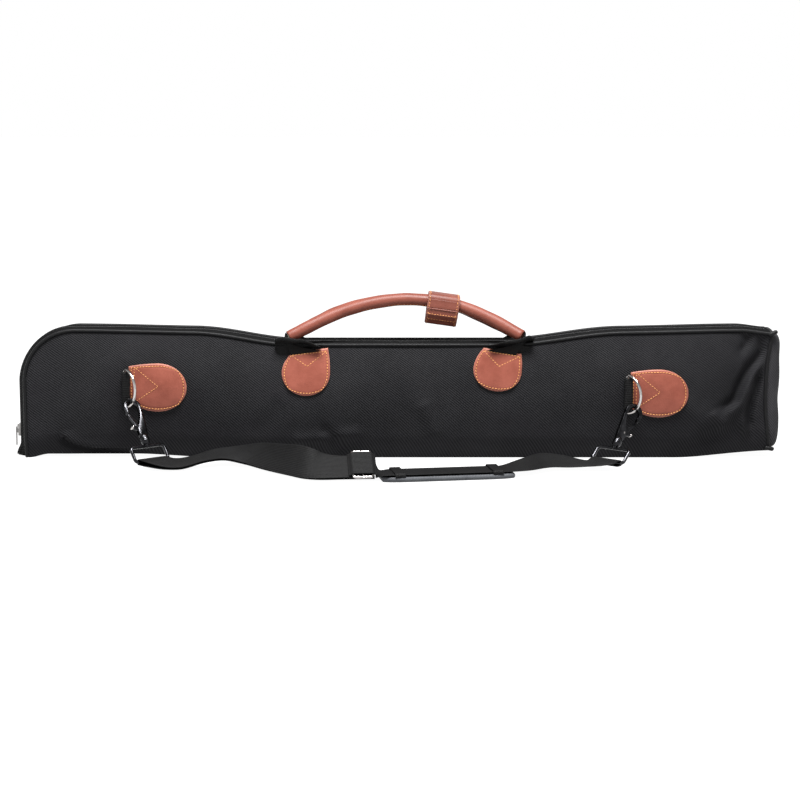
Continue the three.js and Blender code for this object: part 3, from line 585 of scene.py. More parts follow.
NICKEL = metal("dark_nickel", (0.11, 0.11, 0.11), (0.3, 0.29, 0.28), 0.12, 0.26)
GUNMETAL = metal("gunmetal", (0.011, 0.011, 0.012), (0.05, 0.05, 0.054), 0.16, 0.3)
RUBBER = rubber()
THREAD = thread()
HOOK_AND_LOOP = moulded("hook_and_loop", (0.004,) * 3, (0.015,) * 3, 300.0, 0.2, 0.85, 0.0006)


def label(obj, slot, *nodes):
    """The piece stands for CAD nodes, which it hides. slot is not used."""
    if nodes:
        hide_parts(*nodes)
    return obj


def settle(obj, body, slot, *nodes):
    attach(obj, body)
    return label(obj, slot, *nodes)


def settle_half(obj, side, slot, *nodes):
    """A long piece of one half. On the case the back half opens at the left and stays sewn to the end cap;
    here the front piece goes with the case, and the back one is only baked in place.
    """
    if side < 0:
        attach(obj, "case")
    else:
        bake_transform(obj)
    return label(obj, slot, *nodes)


# The case's own shape


def seam_height(x):
    sag = smooth(x, -235, -115) * (1 - smooth(x, 125, 265))
    slope = smooth(x, -385, -200) * (1 - smooth(x, 245, 410))
    return SEAM_TOP - SAG * sag - SLOPE * slope - 4 * smooth(x, 395, SEAM_RIGHT)


def top_over(x):
    into_corner = np.clip(SEAM_LEFT + CORNER_R - x, 0, CORNER_R)
    return seam_height(x) - CORNER_R + np.sqrt(CORNER_R**2 - into_corner**2)


def foot_inset(z):
    """How far the body comes in near its foot, on each side."""
    return FOOT_INSET * (1 - smooth(z, -10, 28))


def panel_depth(x, z):
    """How far a panel stands out from the middle plane, before its creases."""
    rise = np.clip(z / top_over(x), 0, 1)
    ends = smooth(x, SEAM_LEFT, SEAM_LEFT + 75) * (1 - smooth(x, SEAM_RIGHT - 55, SEAM_RIGHT))
    return GUSSET_HALF + BULGE * ends * np.sin(math.pi * rise) - foot_inset(z)


def foot_height(x):
    """The case's foot stands clear of the floor at both ends."""
    left = 4.4 * smooth(x, SEAM_LEFT + 2, SEAM_LEFT + 26) * (1 - smooth(x, -305, -205))
    return left + 8.5 * smooth(x, 325, SEAM_RIGHT + 6)


def end_reach(x):
    """How far the foot and the top of the right end reach past its middle."""
    return smooth(x, 360, SEAM_RIGHT) * 7.5


def end_shift(x, z):
    """The seam round the end cap bows in at half height."""
    return end_reach(x) * (2 * z / SEAM_TOP - 1) ** 2


def eased(points):
    """Points of the plain case, moved with its lifted foot and bowed end."""
    x, y, z = np.moveaxis(points, -1, 0)
    return np.stack([x + end_shift(x, z), y, z + foot_height(x) * (1 - z / SEAM_TOP)], -1)


def plain_height(x, z):
    """The height on the plain case of a point that has been eased."""
    foot = foot_height(x)
    return (z - foot) / (1 - foot / SEAM_TOP)


# Creases: the line that each follows, how far it stands out, and half its width
CREASES = [
    ([(424, 142), (427, 128), (420, 117), (411, 108), (401, 90), (394, 71), (377, 60)], -7.6, 5.4),
    ([(427, 121), (414, 99), (402, 77), (396, 63), (385, 48)], 5.2, 6),
    ([(424, 104), (421, 88), (414, 66), (411, 49), (414, 33)], -6.2, 4.6),
    ([(415, 88), (407, 66), (405, 44), (409, 22)], 4.2, 6),
    ([(367, 58), (376, 46), (384, 38)], 3.6, 9),
    ([(407, 148), (407, 137), (399, 123)], -3.4, 5),
    ([(350, 20), (372, 26), (400, 30), (424, 24)], -2.8, 9),
    ([(-122, 22), (-98, 24), (-76, 26)], 2.8, 8),
    ([(-74, 28), (-56, 30), (-40, 32)], 2.4, 7),
    ([(29, 70), (38, 50), (47, 24)], 2.6, 9),
    ([(-88, 40), (-70, 22), (-62, 6)], -2.4, 7),
    ([(-170, 30), (-150, 44), (-128, 70)], -1.2, 12),
    ([(330, 70), (352, 52), (366, 30)], 1.8, 10),
]
FOLD = [(-392, 30), (-385, 21.5), (-372, 15.6), (-356, 12.4), (-332, 11.4), (-300, 11.2), (-262, 8)]


def line_distance(x, z, line):
    """The distance to a polyline, its sign positive on its left, and how far along it that is."""
    best = np.full(np.shape(x), 1e9)
    signed = np.zeros(np.shape(x))
    share = np.zeros(np.shape(x))
    line = np.asarray(line, float)
    steps = len(line) - 1
    for k, (a, b) in enumerate(zip(line, line[1:])):
        run = b - a
        t = np.clip(((x - a[0]) * run[0] + (z - a[1]) * run[1]) / (run @ run), 0, 1)
        away_x, away_z = x - a[0] - t * run[0], z - a[1] - t * run[1]
        d = np.hypot(away_x, away_z)
        side = np.sign(run[0] * (z - a[1]) - run[1] * (x - a[0]))
        nearer = d < best
        best = np.where(nearer, d, best)
        signed = np.where(nearer, d * side, signed)
        share = np.where(nearer, (k + t) / steps, share)
    return signed, share


def crease_relief(x, z):
    relief = np.zeros(np.shape(x))
    for line, height, half in CREASES:
        distance, share = line_distance(x, z, line)
        fade = np.clip(np.minimum(share, 1 - share) * 5 + 0.25, 0, 1)
        relief = relief + height * fade * np.exp(-((distance / half) ** 2))
    return relief


def fold_relief(x, z):
    """The cloth hangs over itself along the foot of the left end."""
    distance, share = line_distance(x, z, FOLD)
    fade = smooth(share, 0, 0.12) * (1 - smooth(share, 0.55, 1))
    lip = 3.6 * np.exp(-((distance / 9) ** 2)) * smooth(distance, -0.6, 0.8)
    tuck = -7.5 * np.exp(-((distance / 6.5) ** 2)) * (1 - smooth(distance, -1.2, 0.8))
    return fade * (lip + tuck)


def hand_relief(x, z):
    """The soft, uneven fill behind the cloth."""
    slow = 0.55 * np.sin(x / 61 + 0.8) * np.sin(z / 33 + x / 210)
    quick = 0.22 * np.sin(x / 23 - z / 17 + 1.1) + 0.18 * np.sin(x / 37 + z / 11)
    return (slow + quick) * np.sin(math.pi * np.clip(z / SEAM_TOP, 0, 1))


def surface(x, z, side=-1):
    """How far the front or back panel stands out at a place on the finished case."""
    ends = 1 - smooth(np.abs(x), 418, 430)
    relief = crease_relief(x, z) + fold_relief(x, z)
    if side > 0:
        relief = 0.45 * relief
    relief = relief * np.clip(ends + 0.25, 0, 1)
    return panel_depth(x, plain_height(x, z)) + relief + hand_relief(x * side, z)


CORNER_COLUMNS, TOP_COLUMNS, PANEL_ROWS = 22, 330, 62
FOAM_MARGIN = (0.055, 0.17, 0.07)  # shares of a panel that its foam leaves free: ends, foot and top
FOAM = 3.2


def panel_columns(inset):
    """The x and the top of each column of a panel, round the corner and then along the top."""
    angle = np.linspace(0, math.pi / 2, CORNER_COLUMNS, endpoint=False)
    r = CORNER_R - inset
    centre = SEAM_LEFT + CORNER_R
    along = np.linspace(centre, SEAM_RIGHT - inset, TOP_COLUMNS)
    x = np.concatenate([centre - r * np.cos(angle), along])
    top = np.concatenate([SEAM_TOP - CORNER_R + r * np.sin(angle), seam_height(along) - inset])
    return x, top


def pressed_in(x, z, side):
    """How far the padding stands out: it lies clear of every crease in the cloth."""
    return np.minimum(panel_depth(x, plain_height(x, z)), surface(x, z, side)) - 2.5


def panel_grid(side, depth, margin=(0, 0, 0), stands=surface):
    ends, foot, head = margin
    x, top = panel_columns(SEAM_INSET)
    count = len(x)
    picked = np.interp(np.linspace(ends, 1 - ends, count), np.linspace(0, 1, count), np.arange(count))
    x, top = (np.interp(picked, np.arange(count), line) for line in (x, top))
    v = np.linspace(foot, 1 - head, PANEL_ROWS) ** 1.15
    x, z = np.broadcast_arrays(x[:, None], top[:, None] * v[None])
    flat = eased(np.stack([x, np.zeros_like(x), z], -1))
    x, z = flat[..., 0], flat[..., 2]
    y = stands(x, z, side)
    slope_x = stands(x + 0.5, z, side) - stands(x - 0.5, z, side)
    slope_z = stands(x, z + 0.5, side) - stands(x, z - 0.5, side)
    inwards = unit(np.stack([slope_x, np.full_like(x, -1), slope_z], -1))
    points = np.stack([x, y, z], -1) + depth * inwards
    return points * vec(1, side, 1)


def add_panels():
    for name, side in FACES:
        panel = shell(f"{name}_panel_cloth", panel_grid(side, 0), panel_grid(side, CLOTH), NYLON)
        grids = (panel_grid(side, depth, FOAM_MARGIN, pressed_in) for depth in (CLOTH, CLOTH + FOAM))
        outer, inner = (grid[::2, ::2] for grid in grids)
        padding = shell(f"{name}_panel_foam", outer, inner, LINING)
        settle_half(panel, side, "nylon", f"{name}_panel")
        settle_half(padding, side, "lining", f"{name}_padding")


# The gusset and its zip

UP_STEPS, ROUND_STEPS, TOP_STEPS = 34, 30, 290


def rim_line():
    """The gusset's middle line: x, z, its way out (x, z), and how far it has turned towards the top."""
    corner = SEAM_TOP - CORNER_R
    up = np.linspace(1.8, corner, UP_STEPS, endpoint=False)
    angle = np.linspace(0, math.pi / 2, ROUND_STEPS, endpoint=False)
    along = np.linspace(SEAM_LEFT + CORNER_R, SEAM_RIGHT - SEAM_INSET, TOP_STEPS)
    slope = seam_height(along + 1) - seam_height(along - 1)
    out = unit(np.stack([-slope / 2, np.ones_like(slope)], 1))
    centre = SEAM_LEFT + CORNER_R
    x = np.concatenate([np.full(UP_STEPS, SEAM_LEFT), centre - CORNER_R * np.cos(angle), along])
    z = np.concatenate([up, corner + CORNER_R * np.sin(angle), seam_height(along)])
    nx = np.concatenate([np.full(UP_STEPS, -1.0), -np.cos(angle), out[:, 0]])
    nz = np.concatenate([np.zeros(UP_STEPS), np.sin(angle), out[:, 1]])
    turn = np.concatenate([np.zeros(UP_STEPS), np.linspace(0, 1, ROUND_STEPS), np.ones(TOP_STEPS)])
    return x, z, nx, nz, turn


RIM = rim_line()


def rim_grid(across, out):
    """Points of the gusset: across is each column's y, and out how far it stands off, one a column."""
    x, z, nx, nz, turn = (line[:, None] for line in RIM)
    across = np.asarray(across, float)[None]
    narrow = 1 - foot_inset(z) * (turn < 0.5) / GUSSET_HALF
    share = across / GUSSET_HALF
    crown = mix(CROWN_END, CROWN_TOP, turn) * (1 - share**2)
    flare = 5.0 * (1 - smooth(z, 2, 17)) * smooth(-nx, 0.5, 1) * (1 - 0.9 * np.abs(share) ** 3)
    ripple = 0.35 * turn * np.sin(x / 19 + z / 13) * (1 - share**2)
    off = crown + flare + ripple + out
    points = np.stack([x + nx * off, across * narrow + 0 * off, z + nz * off], -1)
    return eased(points)


def add_gusset():
    for name, side in FACES:
        across = np.linspace(ZIP_HALF + 0.4, GUSSET_HALF - PIPING_R - 0.2, 15)
        welt = 1.3 * np.exp(-(((across - 8.2) / 1.8) ** 2)) + 1.2 * np.exp(-(((across - 16) / 1.7) ** 2))
        outer, inner = rim_grid(side * across, welt), rim_grid(side * across, welt - CLOTH)
        gusset = shell(f"{name}_gusset", outer, inner, SHADED_GUSSET_NYLON)
        seam = rim_grid([side * GUSSET_HALF], np.zeros(1))[:, 0]
        piping = tube(f"{name}_piping", seam, PIPING_R, PIPING, 10)
        tape, coil = zip_half(name, side)
        settle_half(gusset, side, "nylon", f"gusset_{name}")
        settle_half(piping, side, "piping", f"piping_{name}")
        settle_half(tape, side, "zip", f"zip_chain_{name}")
        settle_half(coil, side, "zip")


def zip_half(name, side):
    """One half of the zip: its tape, and the coil sewn along it."""
    across = side * np.linspace(0.15, ZIP_HALF + 0.3, 4)
    top, under = (rim_grid(across, np.full(4, out)) for out in (0.0, -0.9))
    tape = shell(f"{name}_zip_tape", top, under, TAPE)
    middle = rim_grid([side * 1.7], np.zeros(1))[:, 0]
    out = np.stack([RIM[2], np.zeros_like(RIM[2]), RIM[3]], 1)
    run = length_of(middle)
    count = int(run / 2.4)
    picked = np.linspace(0.02, 0.995, count) + side * 0.25 / count
    along = np.linspace(0, 1, len(middle))
    step = run_along(middle) / run
    index = np.interp(picked, step, along)
    centres, outs = sampled(middle, along, index), unit(sampled(out, along, index))
    cross = np.broadcast_to(vec(0, 1, 0), centres.shape)
    axes = cross, np.cross(outs, cross), outs
    return tape, grains(f"{name}_zip_coil", centres, axes, vec(1.75, 0.75, 0.7), COIL)


def add_base():
    x = np.linspace(SEAM_LEFT + SEAM_INSET, SEAM_RIGHT - SEAM_INSET, 160)
    for name, half, low, thick, material, slot, node, inset in (
        ("base_cloth", 20.8, 0.0, CLOTH, NYLON, "nylon", "bottom_panel", 0),
        ("base_board", 17.5, CLOTH + 0.3, 3.0, BOARD, "board", "bottom_board", 7),
    ):
        y = np.linspace(-half, half, 13)
        along = np.linspace(x[0] + inset, x[-1] - inset, 160)
        grid = np.stack(np.meshgrid(along, y, indexing="ij"), -1)
        foot = foot_height(grid[..., 0]) + low
        pushed = grid[..., 0] + end_reach(grid[..., 0]) - 0.8
        low_face, high_face = (np.stack([pushed, grid[..., 1], foot + h], -1) for h in (0.0, thick))
        piece = shell(name, high_face, low_face, material)
        settle(piece, "case", slot, node)


# The end cap


def cap_point(a, b, share=1.0):
    """Its outline is a tall rounded rectangle, a little narrower at the foot. a and b run from -1 to 1."""
    half = seam_height(SEAM_RIGHT) / 2 + 0.4
    z = half + 0.8 + half * share * b * np.sqrt(1 - 0.05 * a * a)
    depth = GUSSET_HALF - foot_inset(z)
    return depth * share * a * np.sqrt(1 - 0.14 * b * b), z


def add_end_cap():
    a, b = np.meshgrid(np.linspace(-1, 1, 29), np.linspace(-1, 1, 61), indexing="ij")
    layers = []
    for share, inset in ((0.99, 0.0), (0.955, CLOTH)):
        y, z = cap_point(a, b, share)
        dome = CAP_BULGE * np.sqrt(np.clip((1 - a**4) * (1 - b**10), 0, 1)) * (1.12 - 0.36 * b * b)
        ripple = 0.7 * np.sin(z / 9 + y / 6) * (1 - b * b)
        x = SEAM_RIGHT + PIPING_R - 0.6 + dome + ripple - inset
        layers.append(eased(np.stack([x, y, z], -1)))
    cap = shell("end_cap_cloth", layers[0], layers[1], LIT_CAP_NYLON)
    settle(cap, "case", "nylon", "end_cap")
    t = np.linspace(-1, 1, 30, endpoint=False)
    one = np.ones_like(t)
    a = np.concatenate([t, one, -t, -one])
    b = np.concatenate([-one, t, one, -t])
    y, z = cap_point(a, b)
    loop = eased(np.stack([np.full_like(y, SEAM_RIGHT), y, z], -1))
    piping = tube("end_cap_piping", loop, PIPING_R, PIPING, 10, closed=True)
    settle(piping, "case", "piping", "piping_end_cap")


def add_piping_ends():
    """The front seam's piping runs past the end cap's at its top and foot."""
    for name, z in (("top", SEAM_TOP - 4.6), ("foot", 3.4)):
        depth = GUSSET_HALF - foot_inset(z) + 0.6
        x = SEAM_RIGHT + np.array([-3.0, -0.5, 1.6, 3.0])
        lift = np.array([0.0, 0.8, 2.0, 2.6]) * (1 if name == "top" else -0.5)
        line = eased(np.column_stack([x, np.full(4, -depth), z + lift]))
        settle(tube(f"piping_end_{name}", catmull(line, 5), 2.6, PIPING, 10), "case", "piping")


# Leather patches

HANDLE_TABS = {
    "left": {"centre": (-104.4, 101.5), "size": (52, 56, 42), "turn": -92, "skew": -3.8, "shift": 3.5},
    "right": {"centre": (117.6, 104.2), "size": (47, 56, 44), "turn": -99, "skew": 0, "shift": 2.5},
}
RINGS = {
    "left": {"tab_x": -276, "z": 85, "lift": 50, "hang": -55, "lean": (0.377, -0.469), "spine": 1},
    "right": {"tab_x": 305.5, "z": 78, "lift": 50, "hang": -55, "lean": (-0.47, -0.53), "spine": -1},
}
RING_TAB, RING_TAB_SHIFT = (67, 56, 41), 4.2


def tongue(tab, s, a):
    """A patch's own plane: s from its straight end at -1 to its round end at 1, and a across it."""
    length, width, straight = tab["size"]
    along = np.where(s > 0, s * np.sqrt(1 - a * a / 2), s)
    narrow = np.where(s > 0, np.sqrt(np.clip(1 - s * s / 2, 0, 1)), mix(1, straight / width, s * s))
    before = np.maximum(-s, 0)
    return length / 2 * along + tab["skew"] * a * before, width / 2 * a * narrow + tab["shift"] * before**2


def in_front(tab, px, py):
    """The x and z of a point of a patch's plane."""
    angle = math.radians(tab["turn"])
    x = tab["centre"][0] + px * math.cos(angle) - py * math.sin(angle)
    return x, tab["centre"][1] + px * math.sin(angle) + py * math.cos(angle)


def on_case(tab, px, py, height, side):
    """A point of a patch's plane laid on the panel, that high off it."""
    x, z = in_front(tab, px, py)
    return np.stack([x, side * (surface(x, z, side) + 0.5 + height), z], -1)


def patch(name, tab, side):
    s, a = np.meshgrid(np.linspace(-1, 1, 41), np.linspace(-1, 1, 37), indexing="ij")
    px, py = tongue(tab, s, a)
    rim = np.maximum(np.abs(s), np.abs(a))
    pressed = 0.45 * np.exp(-(((rim - 0.89) / 0.035) ** 2))
    height = LEATHER * (0.35 + 0.65 * np.sqrt(1 - rim**14)) - pressed
    height = height + 0.25 * np.sin(px / 9 + py / 7) * (1 - rim)
    outer, inner = (on_case(tab, px, py, h, side) for h in (height, 0))
    return shell(name, outer, inner, LEATHER_SKIN, marks={"edge": smooth(rim, 0.93, 1.0)})


def tab_stitch_rows(tab, side, v_tip, second_row):
    """Round the edge, a V from the straight end's corners, and a second row along that end."""
    length, width, _ = tab["size"]
    s_in, a_in = 1 - 6.2 / length, 1 - 6.2 / width
    t = np.linspace(-1, 1, 40)
    one = np.ones_like(t)
    s = np.concatenate([-one, t[1:], one[1:], -t[1:]]) * s_in
    a = np.concatenate([t, one[1:], -t[1:], -one[1:]]) * a_in
    lines = [np.stack(tongue(tab, s, a), 1)]
    corner = np.array([tongue(tab, np.array(-s_in), np.array(sign * a_in)) for sign in (-1, 1)])
    tip = np.array([-length / 2 + v_tip, 0.35 * tab["shift"]])
    start = corner + np.array([[5.0, 0], [5.0, 0]]) if second_row else corner
    lines.append(even(np.array([start[0], tip, start[1]]), 30))
    if second_row:
        lines.append(even(corner + np.array([[3.4, 0], [3.4, 0]]), 20))
    rows = []
    for line in lines:
        points = on_case(tab, line[:, 0], line[:, 1], LEATHER - 0.15, side)
        rows.append((points, vec(0, side, 0)))
    return rows


def add_tabs():
    for where, tab in HANDLE_TABS.items():
        for face, side in FACES:
            piece = patch(f"handle_patch_{face}_{where}", tab, side)
            rows = tab_stitch_rows(tab, side, 18, False)
            sewing = stitches(f"handle_patch_stitching_{face}_{where}", rows)
            settle_half(piece, side, "leather", f"handle_tab_{face}_{where}")
            settle_half(sewing, side, "leather")
    for where, ring in RINGS.items():
        centre = ring["tab_x"], ring["z"]
        tab = {"centre": centre, "size": RING_TAB, "turn": 0, "skew": 0, "shift": RING_TAB_SHIFT}
        settle(patch(f"ring_patch_{where}", tab, -1), "case", "leather", f"ring_tab_{where}")
        rows = tab_stitch_rows(tab, -1, 34, True)
        settle(stitches(f"ring_patch_stitching_{where}", rows), "case", "leather")


# D-rings and snap hooks

RING_WIRE_R, RING_HALF, RING_DEPTH = 1.7, 22.0, 22.0
HOOK_LENGTH, HOOK_THICK = 74.0, 6.5
EYE_HALF, EYE_DEPTH, EYE_WIRE_R = 22.0, 19.0, 2.0


def ring_frame(ring):
    """Where a ring's bar is, which way the ring stands, and how its hook hangs from it."""
    stand_off = GUSSET_HALF + BULGE + 0.6 + WEBBING + 0.3 + RING_WIRE_R
    bar = vec(ring["tab_x"] - RING_TAB[0] / 2 - 4.5, -stand_off, ring["z"])
    lift = math.radians(ring["lift"])
    out = vec(math.cos(lift), -math.sin(lift), 0)
    lean_x, lean_y = ring["lean"]
    down = vec(lean_x, lean_y, -math.sqrt(1 - lean_x**2 - lean_y**2))
    hang = math.radians(ring["hang"])
    wire = out * -math.sin(hang) + UP * math.cos(hang)
    face = unit(wire - down * np.dot(wire, down))
    at = bar + out * RING_DEPTH * math.cos(hang) + UP * RING_HALF * math.sin(hang)
    bar_across = unit(np.cross(UP, down))
    if bar_across[0] < 0:
        bar_across = -bar_across
    eye = at + down * HOOK_LENGTH
    away = unit(down * vec(1, 1, 0))
    return {"bar": bar, "out": out, "down": down, "face": face, "across": np.cross(face, down), "at": at,
            "eye": eye, "eye_across": bar_across, "away": away, "spine": ring["spine"]}


def folded_band(bar, away, over, across, reach, inner):
    """The two edges of webbing folded round a bar, with legs that run off along away."""
    r = inner + 0.3 + WEBBING / 2
    angle = np.linspace(0, math.pi, 22)
    turn = np.stack([-r * np.sin(angle), r * np.cos(angle)], 1)
    leg = np.linspace(reach, 0.4, 5)
    legs = [np.stack([line, np.full(5, off)], 1) for line, off in ((leg, r), (leg[::-1], -r))]
    profile = np.vstack([legs[0], turn, legs[1]])
    middle = bar + profile[:, :1] * away + profile[:, 1:] * over
    return middle - across / 2, middle + across / 2


def hook_outline():
    outer = arc(0, -3.7, 11, 0, math.pi, 18)
    inner = arc(0, -3.7, 6.9, math.pi, 0, 16)
    nose = np.array([(-10.7, -8), (-10.6, -11), (-8.8, -12.6), (-7.2, -11.5), (-6.9, -8)])
    neck_in = np.array([(6.9, -10), (4.6, -17), (1.5, -23), (-2.2, -29), (-4.6, -33.5), (-4.2, -44)])
    neck_out = np.array([(5.6, -44), (7.2, -34), (8.6, -24), (10.2, -13)])
    return softened(np.vstack([outer, nose, inner, neck_in, neck_out]), 2)


def gate_outline():
    blade = [(-10.4, -13.2), (-7.8, -12), (-5.6, -16.5), (-2.4, -23), (1.2, -30.5)]
    hinge = [(1.4, -32.6), (1.2, -34.6), (-0.8, -35.4), (-2.8, -34.6)]
    thumb = [(-9.2, -31.6), (-11.6, -29.4), (-10.2, -27.4), (-6.6, -28.2), (-5.2, -27)]
    return softened(np.array(blade + hinge + thumb), 2)


def cut(obj, cutter):
    """Takes the cutter's shape out of obj, and removes the cutter."""
    modifier = obj.modifiers.new("cut", "BOOLEAN")
    modifier.operation = "DIFFERENCE"
    modifier.object = cutter
    bpy.context.view_layer.update()
    evaluated = obj.evaluated_get(bpy.context.evaluated_depsgraph_get())
    made = bpy.data.meshes.new_from_object(evaluated)
    obj.modifiers.clear()
    obj.data = made
    bpy.data.objects.remove(cutter)
    for polygon in made.polygons:
        polygon.use_smooth = True
    return obj


def smooth_by_angle(obj):
    obj.data.set_sharp_from_angle(angle=math.radians(35))


def add_hook(where, at):
    """The hook's own frame: the ring's wire at the origin, -y down the hook, z out of its face."""
    spine = at["spine"]

    def place(points):
        x, y, z = (points[:, i : i + 1] for i in range(3))
        return at["at"] + x * spine * at["across"] - y * at["down"] + z * at["face"]

    body = plate(f"snap_hook_{where}", hook_outline(), HOOK_THICK, 1.3, place, GUNMETAL)
    box = np.array([(-10.4, -40), (3.6, -40), (3.6, -22), (-10.4, -22)])
    cut(body, plate("slot", box, 3.6, 0.1, place, GUNMETAL))
    smooth_by_angle(body)
    settle(body, f"hook_{where}", "gunmetal", f"hook_{where}")
    collar_line = np.array([(0.4, y, 0) for y in np.linspace(-43.6, -49.4, 9)])
    radius = 4.9 + 0.5 * np.sin(np.linspace(0, math.pi, 9) * 3) ** 2
    collar = tube(f"hook_collar_{where}", place(collar_line), radius, GUNMETAL, 20)
    settle(collar, f"hook_{where}", "gunmetal")
    gate = plate(f"gate_{where}", gate_outline(), 3.0, 0.6, place, GUNMETAL)
    smooth_by_angle(gate)
    settle(gate, f"gate_{where}", "gunmetal", f"hook_gate_{where}")
    knob = place(np.array([(-9.6, -29.6, z) for z in (-2.6, 0, 2.6)]))
    settle(tube(f"gate_thumb_{where}", knob, (1.2, 1.7, 1.2), CHROME, 12), f"gate_{where}", "chrome")


def add_swivel(where, at):
    """The rectangular eye that the webbing goes round, and the stem that turns in the hook's collar."""
    dense = rounded_box(EYE_HALF, 0.0, EYE_DEPTH, 4.0, 120)
    loop = at["eye"] + dense[:, :1] * at["eye_across"] - dense[:, 1:] * at["down"]
    eye = tube(f"swivel_eye_{where}", loop, EYE_WIRE_R, GUNMETAL, 14, closed=True)
    settle(eye, f"ring_{where}", "gunmetal", f"hook_swivel_{where}")
    top = at["at"] + at["across"] * 0.4 * at["spine"]
    steps = np.array([44.5, 49.8, 50.4, 52, 53, 55])
    stem = top + steps[:, None] * at["down"]
    radius = np.array([2.1, 2.1, 3.6, 3.8, 3.0, 2.4])
    settle(tube(f"swivel_stem_{where}", stem, radius, GUNMETAL, 16), f"ring_{where}", "gunmetal")


def add_ring_side(where, ring):
    at = ring_frame(ring)
    angle = np.radians(np.linspace(-84, 84, 57))
    bow = at["bar"] + np.outer(RING_DEPTH * np.cos(angle), at["out"])
    bow = bow + np.outer(RING_HALF * np.sin(angle), UP)
    bar = at["bar"] + UP * np.linspace(RING_HALF - 2.4, 2.4 - RING_HALF, 15)[:, None]
    wire = catmull(np.vstack([bow, bar]), 2, closed=True)
    d_ring = tube(f"ring_wire_{where}", wire, RING_WIRE_R, CHROME, 14, closed=True)
    settle(d_ring, f"ring_{where}", "chrome", f"d_ring_{where}")
    tall = UP * 2 * (RING_HALF - 3.2)
    near, far = folded_band(at["bar"], vec(1, 0, 0), vec(0, -1, 0), tall, 6.5, RING_WIRE_R)
    loop = ribbon(f"ring_webbing_{where}", near, far, WEBBING, STRAPPING)
    settle(loop, "case", "webbing", f"ring_loop_{where}")
    add_hook(where, at)
    add_swivel(where, at)
    band = at["eye_across"] * STRAP_WIDTH
    near, far = folded_band(at["eye"], at["away"], UP, band, 5, EYE_WIRE_R)
    bight = ribbon(f"strap_fold_{where}", near, far, WEBBING, STRAPPING)
    settle(bight, f"ring_{where}", "webbing", f"strap_bight_{where}")
    return at


# The shoulder strap

LAYER = 1.2
PAD_START, PAD_END = vec(-14, -184, 0), vec(134, -158, 0)
PAD_WIDTH, PAD_THICK = 44.0, 6.0
PAD_LENGTH = float(np.linalg.norm(PAD_END - PAD_START))
PAD_ALONG = unit(PAD_END - PAD_START)
PAD_SIDE = np.cross(UP, PAD_ALONG)
GLIDE_CORNER, GLIDE_ALONG, GLIDE_TILT = vec(-60, -176, 4), unit(vec(0.996, 0.09, 0)), math.radians(30)
GLIDE_SIDE = np.cross(UP, GLIDE_ALONG) * math.cos(GLIDE_TILT) + UP * math.sin(GLIDE_TILT)
GLIDE_OUT = np.cross(GLIDE_ALONG, GLIDE_SIDE)


def pad_point(along, across, z):
    along, across, z = np.broadcast_arrays(*(np.asarray(v, float) for v in (along, across, z)))
    return PAD_START + along[..., None] * PAD_ALONG + across[..., None] * PAD_SIDE + z[..., None] * UP


def glide_station(along):
    near = GLIDE_CORNER + GLIDE_ALONG * along
    return near, near + GLIDE_SIDE * STRAP_WIDTH


def bar_station(at, offset, rise=0.0, flip=False):
    """Where the strap leaves the bar of a hook's eye."""
    middle = at["eye"] + at["away"] * offset + UP * rise
    edges = [middle + at["eye_across"] * share * STRAP_WIDTH for share in (-0.5, 0.5)]
    return edges[::-1] if flip else edges


def strap_station(along):
    return [pad_point(along, across, PAD_THICK + 2) for across in (3, 3 + STRAP_WIDTH)]


def left_stations(at):
    return [
        bar_station(at, 5.4),
        bar_station(at, 14),
        (vec(-262, -118, 5), vec(-245, -84, 9)),
        (vec(-243, -114, 4), vec(-230, -79.5, 12)),
        (vec(-217, -97, 8.5), vec(-208, -61, 16)),
        (vec(-196, -86, 9), vec(-182, -52, 18)),
        (vec(-175, -92, 6), vec(-155, -65, 24)),
        (vec(-148, -118, 3.4), vec(-128, -100, 29)),
        (vec(-121, -149, 3), vec(-105, -134, 33.5)),
        (vec(-102, -169, 3), vec(-92, -147, 32)),
        (vec(-84, -176, 3.4), vec(-80, -145, 26)),
        glide_station(0),
        glide_station(18),
        glide_station(37),
    ]


def right_stations(at):
    return [
        glide_station(38.2),
        strap_station(2),
        strap_station(14),
        strap_station(PAD_LENGTH / 2),
        strap_station(PAD_LENGTH - 22),
        strap_station(PAD_LENGTH - 10),
        (vec(150, -143, 7), vec(142, -107, 14)),
        (vec(175, -119, 6), vec(166, -83, 16)),
        (vec(201, -113, 5), vec(190, -78, 13)),
        bar_station(at, 14, 1, True),
        bar_station(at, 5.4, 2.95, True),
    ]


def add_strap_run(name, node, stations, layer):
    """One layer of strap, set off to its side by layer, and more so near the hook; it is baked in place."""
    near, far = (catmull([station[edge] for station in stations], 10) for edge in (0, 1))
    lift = layer * (LAYER + 1.75 * (1 - smooth(np.linspace(0, 1, len(near)), 0.04, 0.2)))
    piece = ribbon(name, near, far, WEBBING, STRAPPING, lift)
    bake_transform(piece)
    label(piece, "webbing", node)


def add_strap(left, right):
    stations = left_stations(left)
    add_strap_run("strap_left_upper", "strap_left_outer", stations, 1)
    add_strap_run("strap_left_lower", "strap_left_inner", stations, -1)
    add_strap_run("strap_right_run", "strap_right", right_stations(right), 0)


